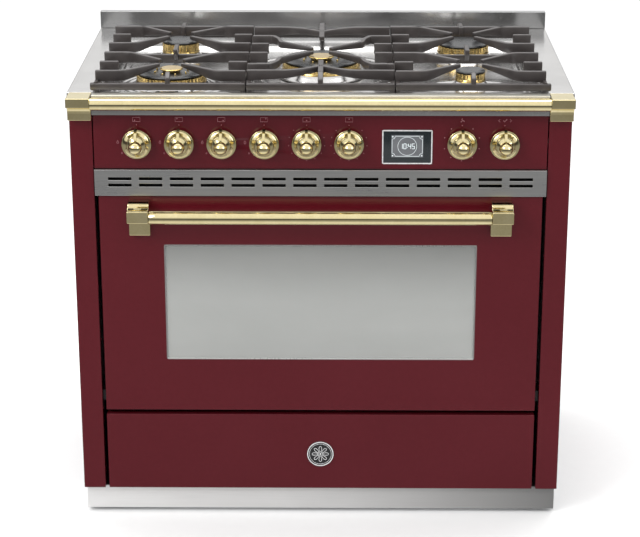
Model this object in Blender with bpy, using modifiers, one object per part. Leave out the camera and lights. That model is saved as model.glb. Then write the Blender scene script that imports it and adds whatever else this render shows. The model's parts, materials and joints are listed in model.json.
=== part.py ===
# Freestanding gas range: five gas burners over one wide oven, with a drawer under the oven.
# Metres, +Z up, +X to the right, and the front faces -Y.  The origin is on the floor, under the
# middle of the overall width and depth.  Depths are counted back from the control panel's face,
# heights on the hob are counted from the flat side strips of the hob top.

import math

import bmesh
import bpy
from mathutils import Matrix, Vector

# ---- overall sizes ----
HOB_WIDTH = 0.900
BODY_DEPTH = 0.560          # control panel face to the back of the upstand
HOB_HEIGHT = 0.822          # floor to the hob's side strips
TOUCH = 0.0003              # gap between pieces that touch
SHEET = 0.002               # pressed sheet steel

# ---- cabinet ----
SIDE_INSET = 0.0032         # side panel's outer face inside the hob's edge
POST_WIDTH = 0.0403
POST_DEPTH = 0.030
CORNER_HEIGHT = 0.045       # brass corner block, also the hob's side skirt
CABINET_BOTTOM = 0.055      # lower edge of the posts and the drawer above the floor
PLINTH_SETBACK = 0.012
PLINTH_INSET = 0.0033
PLINTH_LIFT = 0.008
PLINTH_RETURN = 0.100
BACK_SETBACK = 0.020        # back panel in front of the upstand's back
BASE_FLANGE = 0.022
RUNNER_WIDTH = 0.015
FLANGE_DEPTH = 0.0135       # cavity's flange, from its face to the front frame
FRAME_SHEET = 0.002
FOOT_RADIUS = 0.018
FOOT_PAD = 0.009
FOOT_STEM_RADIUS = 0.005
FOOT_INSET_X = 0.055
FOOT_INSET_Y = 0.060

# ---- hob ----
LIP_REACH = 0.0165          # hob's front lip in front of the panel's face
LIP_SKIRT = 0.036
BASIN_DEPTH = 0.010
BASIN_SIDE = 0.046          # flat side strip beside the basin
BASIN_FRONT = 0.012
BASIN_REAR = 0.135          # hob behind the basin
UPSTAND_HEIGHT = 0.034
UPSTAND_DEPTH = 0.015
RAIL_RADIUS = 0.011
RAIL_REACH = 0.028          # rail's axis in front of the panel's face
RAIL_DROP = 0.013
CORNER_WIDTH = 0.0418
CORNER_REACH = 0.042
CORNER_STEP_REACH = 0.021
CORNER_BAND = 0.017         # height of the block's upper band
CORNER_FOOT = 0.013         # height of its lower band
CORNER_BACK = 0.008

# ---- burners ----
DRAWN_DEPTH = 0.400         # depth of grate that the sizes of burners and fingers are given for
SIDE_BURNER_INSET = 0.138   # burner's middle from the side grate's outer edge
FRONT_BURNER_INSET = 0.096  # burner's middle behind the grate's front edge
REAR_BURNER_INSET = 0.075   # burner's middle in front of the grate's back edge
CENTRE_FORWARD = 0.003      # middle burner in front of the grate's middle
BURNER_SIZES = {            # cap radius, cap top, radius of the brass inner cap
    "front_left": (0.0645, 0.018, 0.021),
    "rear_left": (0.0365, 0.0245, 0.0),
    "centre": (0.0735, 0.018, 0.024),
    "rear_right": (0.0500, 0.021, 0.0),
    "front_right": (0.0280, 0.021, 0.0),
}
CUP_SHARE = 0.62            # cup's radius as a share of the flame ring's
CAP_SHARE = 0.96            # cap's radius as a share of the flame ring's
CAP_EDGE = 0.004            # thickness of a cap's rim
INNER_CAP_RISE = 0.005
FLAME_RING_LOW = 0.003      # lower edge of the flame ring
BURNER_CUP_DEPTH = 0.030
BURNER_HOLE_CLEAR = 0.001
CONE_SPREAD = 0.026
CONE_HEIGHT = 0.006

# ---- grates ----
GRATE_SHARE = 0.328         # joint line between two grates, as a share of the basin's half width
GRATE_GAP = 0.001
GRATE_OVERHANG = 0.005      # grate's side past the basin's
GRATE_FRONT = 0.005
GRATE_SHORT = 0.020         # grate's back edge in front of the basin's
GRATE_TOP = 0.035
FINGER_DEPTH = 0.020
FINGER_TIP_DEPTH = 0.006
BAR = 0.008                 # thickness of the bars and fingers
FRONT_BAR_LOW = 0.004
FRONT_BAR_HIGH = 0.017
FRONT_BAR_REACH = 0.013     # depth of the stub on the front bar
MIDDLE_BAR_HIGH = 0.0205
MIDDLE_FINGER = (0.015, 0.030)   # reach of the middle finger to the front and to the back
SIDE_BAR_HIGH = 0.016
FINGER_SPREAD = 0.0755      # depth from a burner's middle to its outer fingers
FINGER_STRAIGHT = 0.044
FINGER_TIP_X = 0.021
FINGER_TIP_Y = 0.016
STUB_LENGTH = 0.034
REAR_REACH = 0.039          # rear finger past the grate's back edge
GRATE_LEG = 0.010
LEG_OVERLAP = 0.003         # leg's top below the bar's
BAR_OVERLAP = 0.001         # how far one bar runs into the next
COMB_PLACES = (-0.026, 0.049)    # comb teeth from the middle burner
ARM_ROOT = 0.117            # cranked arm's root from the middle burner
ARM_CRANK = (0.080, 0.066)
ARM_TIP = (0.015, 0.014)
ARCH_ROOT = (0.030, 0.010)  # arch's root from the grate's front edge, and from its back edge
ARCH_RISE = 0.037           # how far its middle leans towards the burner
ARCH_STRAIGHT = 0.050
MIDDLE_CLEAR = (0.087, 0.107)    # middle burner to its front finger and to its rear finger

# ---- control panel ----
PANEL_TOP_DROP = 0.038
PANEL_HEIGHT = 0.100
PANEL_DEPTH = 0.020
PANEL_GAP = 0.002           # between a post and the panel's end
KNOB_DROP = 0.090
KNOB_SHARES = (             # places as shares of the panel's half length
    ("knob_front_left", -0.8084),
    ("knob_rear_left", -0.6218),
    ("knob_front_right", -0.4351),
    ("knob_rear_right", -0.2472),
    ("knob_centre_inner", -0.0606),
    ("knob_centre_outer", 0.1261),
    ("knob_oven_function", 0.6230),
    ("knob_oven_heat", 0.8099),
)
KNOB_RADIUS = 0.0268
KNOB_REACH = 0.0505
KNOB_BALL = 0.012
SHAFT_RADIUS = 0.004
SHAFT_CLEAR = 0.0012
SHAFT_DEPTH = 0.024
POINTER_WIDTH = 0.0056
POINTER_REACH = 0.029
DISPLAY_SHARE = 0.3827
DISPLAY_DROP = 0.097
DISPLAY_WIDTH = 0.0896
DISPLAY_HEIGHT = 0.0628
DISPLAY_RIM = 0.0020
DISPLAY_DEPTH = 0.018

# ---- vent strip ----
VENT_GAP = 0.001
VENT_HEIGHT = 0.0485
VENT_REACH = 0.006
VENT_INSET = 0.0015
SLOT_COLUMNS = 14
SLOT_MARGIN = 0.0358        # strip's length that the slots' pitches leave over
SLOT_BRIDGE = 0.0136        # metal between two slots
SLOT_HEIGHT = 0.0055
SLOT_ROWS = 2
SLOT_ROW_PITCH = 0.012

# ---- door ----
DOOR_GAP = 0.007            # between a post and the door or drawer
DOOR_TOP_GAP = 0.002
DOOR_DEPTH = 0.038
DOOR_SKIN_DEPTH = 0.020
DOOR_GAP_BELOW = 0.0089
PIVOT_DEPTH = 0.020
PIVOT_RISE = 0.026          # door pivot above the door's lower edge
PIVOT_PIN = 0.004
PIVOT_CLEAR = 0.0004
WINDOW_SIDE = 0.116         # width of the door frame beside the window
WINDOW_TOP = 0.0926
WINDOW_LOW = 0.1018
GLASS = 0.004
GLASS_LAP = 0.0165
INNER_WINDOW_INSET = 0.028
HANDLE_DROP = 0.0290        # bar axis below the door's top
BAR_RADIUS = 0.0123
BAR_REACH = 0.038
BRACKET_INNER = 0.093       # bracket's inner face from the door's side
BRACKET_WIDTH = 0.0385
BRACKET_REACH = 0.051
BRACKET_ARM = 0.030
BRACKET_RISE = 0.0230       # bracket above the bar's axis
BRACKET_BLOCK = 0.008       # lower edge of the bracket's block below the bar's axis
BRACKET_FOOT = 0.042
BRACKET_FOOT_REACH = 0.014

# ---- drawer ----
DRAWER_HEIGHT = 0.1514
DRAWER_SKIN_DEPTH = 0.018
DRAWER_BOX_INSET = 0.0465   # box's side inside the post
DRAWER_BOX_CLEAR = 0.110    # box's back in front of the back panel
DRAWER_BOX_LOW = 0.015      # box above the drawer front's lower edge
DRAWER_BOX_HEIGHT = 0.095
BADGE_RADIUS = 0.0248
BADGE_THICKNESS = 0.003
BADGE_RISE = 0.072

# ---- oven ----
CAVITY_INSET = 0.0465       # cavity's side inside the post
CAVITY_CLEAR = 0.0795       # cavity's rear wall in front of the back panel
DOOR_SEAL = 0.0025          # room between the door and the cavity's flange
FLANGE_WIDTH = 0.023
FLANGE_LOW = 0.012
FLANGE_TOP_GAP = 0.009      # flange below the vent strip
SWING_CLEAR = 0.0026        # between the opened door and the cavity's flange
GUIDE_STAND = 0.008
GUIDE_WIRE = 0.005
RACK_LEVEL = 0.36           # rack's height as a share of the cavity's height
RACK_WIRE = 0.004
RACK_WIRES = 13
RACK_FRONT = 0.022          # rack behind the cavity's face
RACK_BACK = 0.004           # rack in front of the fan cover
FAN_SHARE = 0.6363          # fan's radius as a share of its cover's
FAN_BLADES = 6
FAN_DEPTH = 0.016
FAN_SHAFT = 0.006
FAN_COVER_SHARE = 0.324     # cover's radius as a share of the cavity's height
FAN_COVER_DEPTH = 0.028
COVER_SLOTS = 8
SLOT_RING_SHARE = 0.5455    # ring of cover slots as a share of the cover's radius
ELEMENT_RADIUS = 0.0035
ELEMENT_DROP = 0.022

# ---- gas and mains ----
MANIFOLD_RADIUS = 0.009
MANIFOLD_DEPTH = 0.062
TAP_SIZE = 0.022
TAP_COUNT = 6
PIPE_SIDE = 0.028           # gas pipe inside the side panel
INLET_REACH = 0.016
TERMINAL_WIDTH = 0.110
TERMINAL_HEIGHT = 0.070
TERMINAL_X = -0.300
TERMINAL_Z = 0.520
GLAND_RADIUS = 0.009

# ---- what follows from them ----
REACH = max(BRACKET_REACH, KNOB_REACH)
FACE_Y = REACH - (BODY_DEPTH + REACH) / 2.0      # control panel's face
SIDE_X = HOB_WIDTH / 2.0 - SIDE_INSET
POST_X = SIDE_X - POST_WIDTH                     # inner edge of a post
CORNER_X = SIDE_X - CORNER_WIDTH
CABINET_TOP = HOB_HEIGHT - CORNER_HEIGHT
PANEL_TOP = HOB_HEIGHT - PANEL_TOP_DROP
PANEL_BOTTOM = PANEL_TOP - PANEL_HEIGHT
VENT_TOP = PANEL_BOTTOM - VENT_GAP
VENT_BOTTOM = VENT_TOP - VENT_HEIGHT
DOOR_X = POST_X - DOOR_GAP
DRAWER_TOP = CABINET_BOTTOM + DRAWER_HEIGHT
DOOR_BOTTOM = DRAWER_TOP + DOOR_GAP_BELOW
DOOR_TOP = VENT_BOTTOM - DOOR_TOP_GAP
PIVOT_Z = DOOR_BOTTOM + PIVOT_RISE
WINDOW_X = DOOR_X - WINDOW_SIDE
WINDOW_BOTTOM = DOOR_BOTTOM + WINDOW_LOW
WINDOW_UPPER = DOOR_TOP - WINDOW_TOP
FLANGE_BOTTOM = PIVOT_Z + DOOR_DEPTH - PIVOT_DEPTH + SWING_CLEAR
FLANGE_TOP = VENT_BOTTOM - FLANGE_TOP_GAP
CAVITY_BOTTOM = FLANGE_BOTTOM + FLANGE_LOW
CAVITY_TOP = FLANGE_TOP - FLANGE_LOW
SIGNIFICANT = 6             # decimals of a metre that places are rounded to
BACK_PANEL = BODY_DEPTH - BACK_SETBACK
CAVITY_FACE = DOOR_DEPTH + DOOR_SEAL
FRAME_SETBACK = CAVITY_FACE + FLANGE_DEPTH
CAVITY_X = POST_X - CAVITY_INSET
CAVITY_BACK = BACK_PANEL - CAVITY_CLEAR
CAVITY_MIDDLE = (CAVITY_BOTTOM + CAVITY_TOP) / 2.0
FAN_COVER_RADIUS = FAN_COVER_SHARE * (CAVITY_TOP - CAVITY_BOTTOM)
FAN_RADIUS = FAN_SHARE * FAN_COVER_RADIUS
DRAWER_FLOOR = CABINET_BOTTOM + DRAWER_BOX_LOW
DRAWER_BOX_X = POST_X - DRAWER_BOX_INSET
DRAWER_BOX_DEPTH = BACK_PANEL - DRAWER_SKIN_DEPTH - DRAWER_BOX_CLEAR
BASIN_X = HOB_WIDTH / 2.0 - BASIN_SIDE
BASIN_Z = HOB_HEIGHT - BASIN_DEPTH
BASIN_BACK = BODY_DEPTH - BASIN_REAR
GRATE_SPLIT = GRATE_SHARE * BASIN_X
GRATE_OUTER = BASIN_X + GRATE_OVERHANG
GRATE_BACK = round(BASIN_BACK - GRATE_SHORT, SIGNIFICANT)
REAR_LEG = GRATE_BACK + REAR_REACH
SIDE_BURNER_X = GRATE_OUTER - SIDE_BURNER_INSET
GRATE_RATIO = round((GRATE_BACK - GRATE_FRONT) / DRAWN_DEPTH, SIGNIFICANT)
FRONT_BURNER = round(GRATE_FRONT + FRONT_BURNER_INSET * GRATE_RATIO, SIGNIFICANT)
REAR_BURNER = round(GRATE_BACK - REAR_BURNER_INSET * GRATE_RATIO, SIGNIFICANT)
CENTRE_BURNER = (GRATE_FRONT + GRATE_BACK) / 2.0 - CENTRE_FORWARD
BURNER_PLACES = {
    "front_left": (-SIDE_BURNER_X, FRONT_BURNER),
    "rear_left": (-SIDE_BURNER_X, REAR_BURNER),
    "centre": (0.0, CENTRE_BURNER),
    "rear_right": (SIDE_BURNER_X, REAR_BURNER),
    "front_right": (SIDE_BURNER_X, FRONT_BURNER),
}
BURNERS = [(name, *BURNER_PLACES[name], radius * GRATE_RATIO, top, inner * GRATE_RATIO)
           for name, (radius, top, inner) in BURNER_SIZES.items()]
PANEL_X = POST_X - PANEL_GAP
KNOBS = [(name, share * PANEL_X) for name, share in KNOB_SHARES]
DISPLAY_X = DISPLAY_SHARE * PANEL_X
SLOT_PITCH = (2.0 * (POST_X - VENT_INSET) - SLOT_MARGIN) / SLOT_COLUMNS
SLOT_WIDTH = SLOT_PITCH - SLOT_BRIDGE

FINISHES = {                # colour, roughness, metallic
    "enamel": ((0.13, 0.012, 0.020), 0.32, 0.0),
    "steel": ((0.62, 0.62, 0.62), 0.28, 1.0),
    "brass": ((0.80, 0.66, 0.32), 0.15, 1.0),
    "cast_iron": ((0.050, 0.045, 0.043), 0.60, 0.0),
    "black_enamel": ((0.020, 0.022, 0.024), 0.30, 0.0),
    "cavity_enamel": ((0.30, 0.30, 0.29), 0.35, 0.0),
    "glass": ((0.45, 0.46, 0.44), 0.08, 0.0),
    "dark_glass": ((0.015, 0.015, 0.018), 0.10, 0.0),
    "galvanised": ((0.45, 0.46, 0.47), 0.45, 1.0),
    "chrome": ((0.70, 0.70, 0.70), 0.15, 1.0),
    "black_plastic": ((0.02, 0.02, 0.02), 0.50, 0.0),
}

ALONG_X = Matrix(((0, 0, 1), (1, 0, 0), (0, 1, 0))).to_euler()    # an outline in Y and Z
ALONG_Y = Matrix(((1, 0, 0), (0, 0, -1), (0, 1, 0))).to_euler()   # an outline in X and Z
FACING_FRONT = (math.radians(90), 0.0, 0.0)                       # a turned piece, axis to -Y
CIRCLE = 2.0 * math.pi


# ---- helpers ----

def clear_scene():
    for item in list(bpy.data.objects):
        bpy.data.objects.remove(item, do_unlink=True)


def new_collection(name, parent):
    group = bpy.data.collections.new(name)
    parent.children.link(group)
    return group


def behind(depth):
    """Y of a point that lies the given depth behind the control panel's face."""
    return FACE_Y + depth


def from_hob(height):
    return HOB_HEIGHT + height


def mirrored(low, high, side):
    """An X range on the right side, or its mirror image on the left."""
    return (low, high) if side > 0 else (-high, -low)


def object_from_bmesh(name, bm):
    mesh = bpy.data.meshes.new(name)
    bm.to_mesh(mesh)
    bm.free()
    item = bpy.data.objects.new(name, mesh)
    PARTS.objects.link(item)
    return item


def box(name, x, y, z):
    """A box from its ranges along the three axes, whose corners take those very numbers."""
    bm = bmesh.new()
    bmesh.ops.create_cube(bm)
    for vert in bm.verts:
        vert.co = (x[vert.co.x > 0.0], y[vert.co.y > 0.0], z[vert.co.z > 0.0])
    return object_from_bmesh(name, bm)


def cone(name, centre, radii, length, turn=(0.0, 0.0, 0.0), segments=24):
    bm = bmesh.new()
    bmesh.ops.create_cone(bm, cap_ends=True, segments=segments, radius1=radii[0],
                          radius2=radii[1], depth=length)
    item = object_from_bmesh(name, bm)
    item.location = centre
    item.rotation_euler = turn
    return item


def turned(name, profile, centre, turn=(0.0, 0.0, 0.0), steps=24, ring=False):
    """A profile of (radius, height) points, top to bottom down its outer side, turned about Z."""
    points = [(radius, 0.0, height) for radius, height in profile]
    edges = [(i, i + 1) for i in range(len(points) - 1)]
    if ring:
        edges.append((len(points) - 1, 0))
    mesh = bpy.data.meshes.new(name)
    mesh.from_pydata(points, edges, [])
    item = bpy.data.objects.new(name, mesh)
    PARTS.objects.link(item)
    screw = item.modifiers.new("turn", 'SCREW')
    screw.steps = steps
    screw.render_steps = steps
    screw.use_merge_vertices = True
    screw.merge_threshold = 0.00005
    item.location = centre
    item.rotation_euler = turn
    return item


def bake(item):
    """Replace an object's curve or modifiers by the mesh that they make, welded and outward."""
    depsgraph = bpy.context.evaluated_depsgraph_get()
    depsgraph.update()
    mesh = bpy.data.meshes.new_from_object(item.evaluated_get(depsgraph))
    bm = bmesh.new()
    bm.from_mesh(mesh)
    bmesh.ops.remove_doubles(bm, verts=bm.verts, dist=0.00001)
    bmesh.ops.recalc_face_normals(bm, faces=bm.faces)
    bm.to_mesh(mesh)
    bm.free()
    solid = bpy.data.objects.new(item.name + "_solid", mesh)
    solid.matrix_world = item.matrix_world.copy()
    PARTS.objects.link(solid)
    name = item.name
    bpy.data.objects.remove(item, do_unlink=True)
    solid.name = name
    return solid


def outline(name, points, thickness, centre, turn=(0.0, 0.0, 0.0)):
    """A flat outline with a thickness, made as a filled curve."""
    data = bpy.data.curves.new(name, 'CURVE')
    data.dimensions = '2D'
    data.fill_mode = 'BOTH'
    data.extrude = thickness / 2.0
    spline = data.splines.new('POLY')
    spline.points.add(len(points) - 1)
    for point, (u, v) in zip(spline.points, points):
        point.co = (u, v, 0.0, 1.0)
    spline.use_cyclic_u = True
    item = bpy.data.objects.new(name, data)
    PARTS.objects.link(item)
    item.location = centre
    item.rotation_euler = turn
    bpy.context.view_layer.update()
    return bake(item)


def tube(name, points, radius, resolution=2):
    """A round bar or pipe along straight runs."""
    data = bpy.data.curves.new(name, 'CURVE')
    data.dimensions = '3D'
    data.bevel_depth = radius
    data.bevel_resolution = resolution
    data.use_fill_caps = True
    spline = data.splines.new('POLY')
    spline.points.add(len(points) - 1)
    for point, place in zip(spline.points, points):
        point.co = (*place, 1.0)
    item = bpy.data.objects.new(name, data)
    PARTS.objects.link(item)
    bpy.context.view_layer.update()
    return bake(item)


def use_tools(item, operation, tools):
    """Boolean an object with a group of tools, which go to the cutters' collection."""
    group = new_collection(item.name + "_" + operation.lower(), CUTTERS)
    for tool in tools:
        PARTS.objects.unlink(tool)
        group.objects.link(tool)
        tool.hide_render = True
        tool.display_type = 'WIRE'
    boolean = item.modifiers.new(operation.lower(), 'BOOLEAN')
    boolean.operation = operation
    boolean.solver = 'EXACT'
    boolean.operand_type = 'COLLECTION'
    boolean.collection = group


def join(item, tools):
    use_tools(item, 'UNION', tools)


def cut(item, tools):
    use_tools(item, 'DIFFERENCE', tools)


def paint(item, finish, smooth=False):
    """Give a piece its own Principled material."""
    colour, roughness, metallic = FINISHES[finish]
    material = bpy.data.materials.new(item.name + "_" + finish)
    material.use_nodes = True
    shader = material.node_tree.nodes["Principled BSDF"]
    shader.inputs["Base Color"].default_value = (*colour, 1.0)
    shader.inputs["Roughness"].default_value = roughness
    shader.inputs["Metallic"].default_value = metallic
    material.diffuse_color = (*colour, 1.0)
    item.data.materials.clear()
    item.data.materials.append(material)
    if smooth:
        item.data.shade_smooth()
        item.data.set_sharp_from_angle(angle=math.radians(35))
    return item


def tray(name, x, y, z, wall, open_side):
    """A box shell that is open towards -Y ("front"), +Y ("back"), -Z ("below") or +Z ("above")."""
    item = box(name, x, y, z)
    inner_x = (x[0] + wall, x[1] - wall)
    inner_y = [y[0] + wall, y[1] - wall]
    inner_z = [z[0] + wall, z[1] - wall]
    if open_side == "front":
        inner_y[0] = y[0] - wall
    elif open_side == "back":
        inner_y[1] = y[1] + wall
    elif open_side == "below":
        inner_z[0] = z[0] - wall
    else:
        inner_z[1] = z[1] + wall
    return item, box(name + "_hollow", inner_x, inner_y, inner_z)


# ---- cabinet ----

def make_side_panels():
    """Folded sheet: the cabinet's side with the front post and its inner return."""
    front, back = behind(0.0), behind(BODY_DEPTH - UPSTAND_DEPTH / 2.0)
    for side, word in ((-1, "left"), (1, "right")):
        points = [(SIDE_X, front), (SIDE_X, back), (SIDE_X - SHEET, back),
                  (SIDE_X - SHEET, front + SHEET), (POST_X + SHEET, front + SHEET),
                  (POST_X + SHEET, front + POST_DEPTH), (POST_X, front + POST_DEPTH),
                  (POST_X, front)]
        points = [(side * x, y) for x, y in points]
        height = CABINET_TOP - CABINET_BOTTOM
        middle = (0.0, 0.0, CABINET_BOTTOM + height / 2.0)
        paint(outline("side_panel_" + word, points, height, middle), "enamel")


def make_back_panel():
    half = SIDE_X - SHEET - TOUCH
    item = box("back_panel", (-half, half), (behind(BACK_PANEL - SHEET), behind(BACK_PANEL)),
               (CABINET_BOTTOM, CABINET_TOP - SHEET))
    slots = []
    slot_count, pitch, width, height = 7, 0.080, 0.056, 0.010
    for row in range(2):
        z = CABINET_TOP - 0.060 - row * 0.030
        for column in range(slot_count):
            x = (column - (slot_count - 1) / 2.0) * pitch
            slots.append(box("back_slot", (x - width / 2.0, x + width / 2.0),
                             (behind(BACK_PANEL - 0.010), behind(BACK_PANEL + 0.010)),
                             (z - height / 2.0, z + height / 2.0)))
    pipe_x = SIDE_X - PIPE_SIDE
    slots.append(cone("pipe_hole", (pipe_x, behind(BACK_PANEL), manifold_height()),
                      (MANIFOLD_RADIUS + TOUCH * 3.0,) * 2, 0.020, FACING_FRONT))
    cut(item, slots)
    paint(item, "galvanised")


def make_base():
    """Base tray with its flanges down, the drawer's two runners, the plinth and the feet."""
    half = SIDE_X - PLINTH_INSET - SHEET - TOUCH
    top = CABINET_BOTTOM - TOUCH
    front = behind(PLINTH_SETBACK + SHEET + TOUCH)
    back = behind(BACK_PANEL)
    item, hollow = tray("base_frame", (-half, half), (front, back), (top - BASE_FLANGE, top),
                        SHEET, "below")
    cut(item, [hollow])
    runner_top = DRAWER_FLOOR - TOUCH
    runners = []
    for side in (-1, 1):
        x = mirrored(DRAWER_BOX_X - RUNNER_WIDTH, DRAWER_BOX_X, side)
        runners.append(box("runner", x, (behind(0.030), behind(0.030 + DRAWER_BOX_DEPTH)),
                           (top - SHEET / 2.0, runner_top)))
    join(item, runners)
    paint(item, "galvanised")

    outer = SIDE_X - PLINTH_INSET
    face, tail = behind(PLINTH_SETBACK), behind(PLINTH_SETBACK + PLINTH_RETURN)
    points = [(-outer, face), (outer, face), (outer, tail), (outer - SHEET, tail),
              (outer - SHEET, face + SHEET), (SHEET - outer, face + SHEET),
              (SHEET - outer, tail), (-outer, tail)]
    height = top - PLINTH_LIFT
    plinth = outline("plinth", points, height, (0.0, 0.0, PLINTH_LIFT + height / 2.0))
    paint(plinth, "steel")

    foot_x = SIDE_X - FOOT_INSET_X
    stem_top = top - SHEET - TOUCH
    profile = [(0.0, stem_top), (FOOT_STEM_RADIUS, stem_top), (FOOT_STEM_RADIUS, FOOT_PAD),
               (FOOT_RADIUS, FOOT_PAD * 0.7), (FOOT_RADIUS, 0.0), (0.0, 0.0)]
    for x, word in ((-foot_x, "left"), (foot_x, "right")):
        for depth, place in ((FOOT_INSET_Y, "front"), (BACK_PANEL - FOOT_INSET_Y, "rear")):
            name = "foot_" + place + "_" + word
            foot = turned(name, profile, (x, behind(depth), 0.0), steps=16)
            paint(foot, "black_plastic", smooth=True)


def make_front_frame():
    half = POST_X - TOUCH
    y = (behind(FRAME_SETBACK), behind(FRAME_SETBACK + FRAME_SHEET))
    item = box("front_frame", (-half, half), y, (DRAWER_TOP - 0.012, VENT_TOP))
    clear = SHEET + TOUCH
    opening = box("oven_opening", (-CAVITY_X - clear, CAVITY_X + clear),
                  (y[0] - 0.010, y[1] + 0.010), (CAVITY_BOTTOM - clear, CAVITY_TOP + clear))
    cut(item, [opening])
    paint(item, "black_enamel")


# ---- hob ----

def make_hob_top():
    """Pressed sheet: flat strips round a sunk basin, raised cones under the burners."""
    half = HOB_WIDTH / 2.0
    front, back = behind(-LIP_REACH), behind(BODY_DEPTH)
    low = HOB_HEIGHT - CORNER_HEIGHT + TOUCH
    item = box("hob_top", (-half, half), (front, back), (low, HOB_HEIGHT))
    under = low - 0.010
    basin_under = BASIN_Z - SHEET
    inner = half - SHEET
    basin_front, basin_back = behind(BASIN_FRONT), behind(BASIN_BACK)
    hollows = [
        box("below", (-inner, inner), (front + SHEET, back - SHEET), (under, basin_under)),
        box("below_back", (-inner, inner), (basin_back + SHEET, back - SHEET),
            (under, HOB_HEIGHT - SHEET)),
        box("below_front", (-inner, inner), (front + SHEET, basin_front - SHEET),
            (under, HOB_HEIGHT - SHEET)),
    ]
    for side in (-1, 1):
        hollows.append(box("below_side", mirrored(BASIN_X + SHEET, inner, side),
                           (front + SHEET, back - SHEET), (under, HOB_HEIGHT - SHEET)))
        hollows.append(box("corner", mirrored(CORNER_X - TOUCH, half + 0.010, side),
                           (front - 0.010, behind(CORNER_BACK + TOUCH)),
                           (under, HOB_HEIGHT + 0.010)))
    hollows.append(box("lip", (-CORNER_X + TOUCH, CORNER_X - TOUCH),
                       (front - 0.010, front + SHEET), (under, HOB_HEIGHT - LIP_SKIRT)))
    hollows.append(box("basin", (-BASIN_X, BASIN_X), (basin_front, basin_back),
                       (BASIN_Z, HOB_HEIGHT + 0.010)))
    cut(item, hollows)
    cones, holes = [], []
    for name, x, depth, radius, _top, _inner in BURNERS:
        length = CONE_HEIGHT + SHEET / 2.0
        cones.append(cone("cone", (x, behind(depth), BASIN_Z + CONE_HEIGHT - length / 2.0),
                          (radius + CONE_SPREAD, radius), length, segments=32))
        holes.append(cone("hole", (x, behind(depth), BASIN_Z),
                          (cup_radius(radius) + BURNER_HOLE_CLEAR,) * 2, 0.040, segments=24))
    join(item, cones)
    cut(item, holes)
    paint(item, "steel")


def make_upstand():
    half = HOB_WIDTH / 2.0
    low = HOB_HEIGHT + TOUCH
    item, hollow = tray("rear_upstand", (-half, half),
                        (behind(BODY_DEPTH - UPSTAND_DEPTH), behind(BODY_DEPTH)),
                        (low, HOB_HEIGHT + UPSTAND_HEIGHT), SHEET, "below")
    cut(item, [hollow])
    paint(item, "steel")


def make_rail_and_corners():
    half = CORNER_X - TOUCH
    rail = cone("front_rail", (0.0, behind(-RAIL_REACH), from_hob(-RAIL_DROP)),
                (RAIL_RADIUS, RAIL_RADIUS), 2.0 * half, (0.0, math.radians(90), 0.0))
    paint(rail, "brass", smooth=True)
    low = HOB_HEIGHT - CORNER_HEIGHT + TOUCH
    cove = []
    start, end = HOB_HEIGHT - CORNER_BAND, low + CORNER_FOOT
    for i in range(6):
        angle = math.radians(90.0 * i / 5.0)
        reach = CORNER_STEP_REACH + (CORNER_REACH - 0.004 - CORNER_STEP_REACH) * (1 - math.sin(angle))
        cove.append((behind(-reach), end + (start - end) * math.cos(angle)))
    points = [(behind(CORNER_BACK), low), (behind(-CORNER_STEP_REACH), low)] + cove[::-1]
    points += [(behind(-CORNER_REACH), start), (behind(-CORNER_REACH), HOB_HEIGHT),
               (behind(CORNER_BACK), HOB_HEIGHT)]
    for side, word in ((-1, "left"), (1, "right")):
        middle = side * (CORNER_X + CORNER_WIDTH / 2.0)
        block = outline("corner_block_" + word, points, CORNER_WIDTH, (middle, 0.0, 0.0), ALONG_X)
        paint(block, "brass")


def cup_radius(cap_radius):
    return cap_radius * CUP_SHARE


def make_burners():
    """Each burner is a cup with its flame ring, and a loose cap on top."""
    for name, x, depth, radius, top, inner in BURNERS:
        centre = (x, behind(depth), HOB_HEIGHT)
        rim = top - CAP_EDGE - TOUCH
        cup = cup_radius(radius)
        steps = 28 if radius > 0.045 else 20
        profile = [(0.0, rim), (radius - 0.002, rim), (radius, rim - 0.002),
                   (radius, FLAME_RING_LOW), (cup, FLAME_RING_LOW - 0.004),
                   (cup, -BURNER_CUP_DEPTH), (0.0, -BURNER_CUP_DEPTH)]
        base = turned("burner_" + name, profile, centre, steps=steps)
        paint(base, "brass", smooth=True)
        crown = radius * CAP_SHARE
        profile = [(crown - 0.003, top), (crown, top - 0.001), (crown, top - CAP_EDGE),
                   (0.0, top - CAP_EDGE)]
        if inner > 0.0:
            knob = [(0.0, top + INNER_CAP_RISE), (inner - 0.001, top + INNER_CAP_RISE),
                    (inner, top + INNER_CAP_RISE - 0.001), (inner, top - 0.001)]
            profile = knob + profile
        else:
            profile = [(0.0, top)] + profile
        cap = turned("burner_cap_" + name, profile, centre, steps=steps)
        paint(cap, "black_enamel", smooth=True)


def finger(points, low_end):
    """Upright plates along a path: full depth on the first run, tapering to the tip on the last."""
    pieces = []
    top = from_hob(GRATE_TOP)
    for i in range(len(points) - 1):
        start, end = Vector(points[i]), Vector(points[i + 1])
        along = (end - start).normalized()
        across = Vector((-along.y, along.x)) * BAR / 2.0
        stop = end + along * BAR / 2.0
        far = low_end if i == len(points) - 2 else FINGER_DEPTH
        bm = bmesh.new()
        verts = []
        for place, drop in ((start, FINGER_DEPTH), (stop, far)):
            for at in (place - across, place + across):
                verts.append(bm.verts.new((at.x, at.y, top)))
                verts.append(bm.verts.new((at.x, at.y, top - drop)))
        for face in ((0, 2, 6, 4), (1, 5, 7, 3), (0, 1, 3, 2), (4, 6, 7, 5), (0, 4, 5, 1), (2, 3, 7, 6)):
            bm.faces.new([verts[corner] for corner in face])
        bmesh.ops.recalc_face_normals(bm, faces=bm.faces)
        pieces.append(object_from_bmesh("finger", bm))
    return pieces


def grate_bar(x, y, low, high):
    return box("bar", x, y, (from_hob(low), from_hob(high)))


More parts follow.
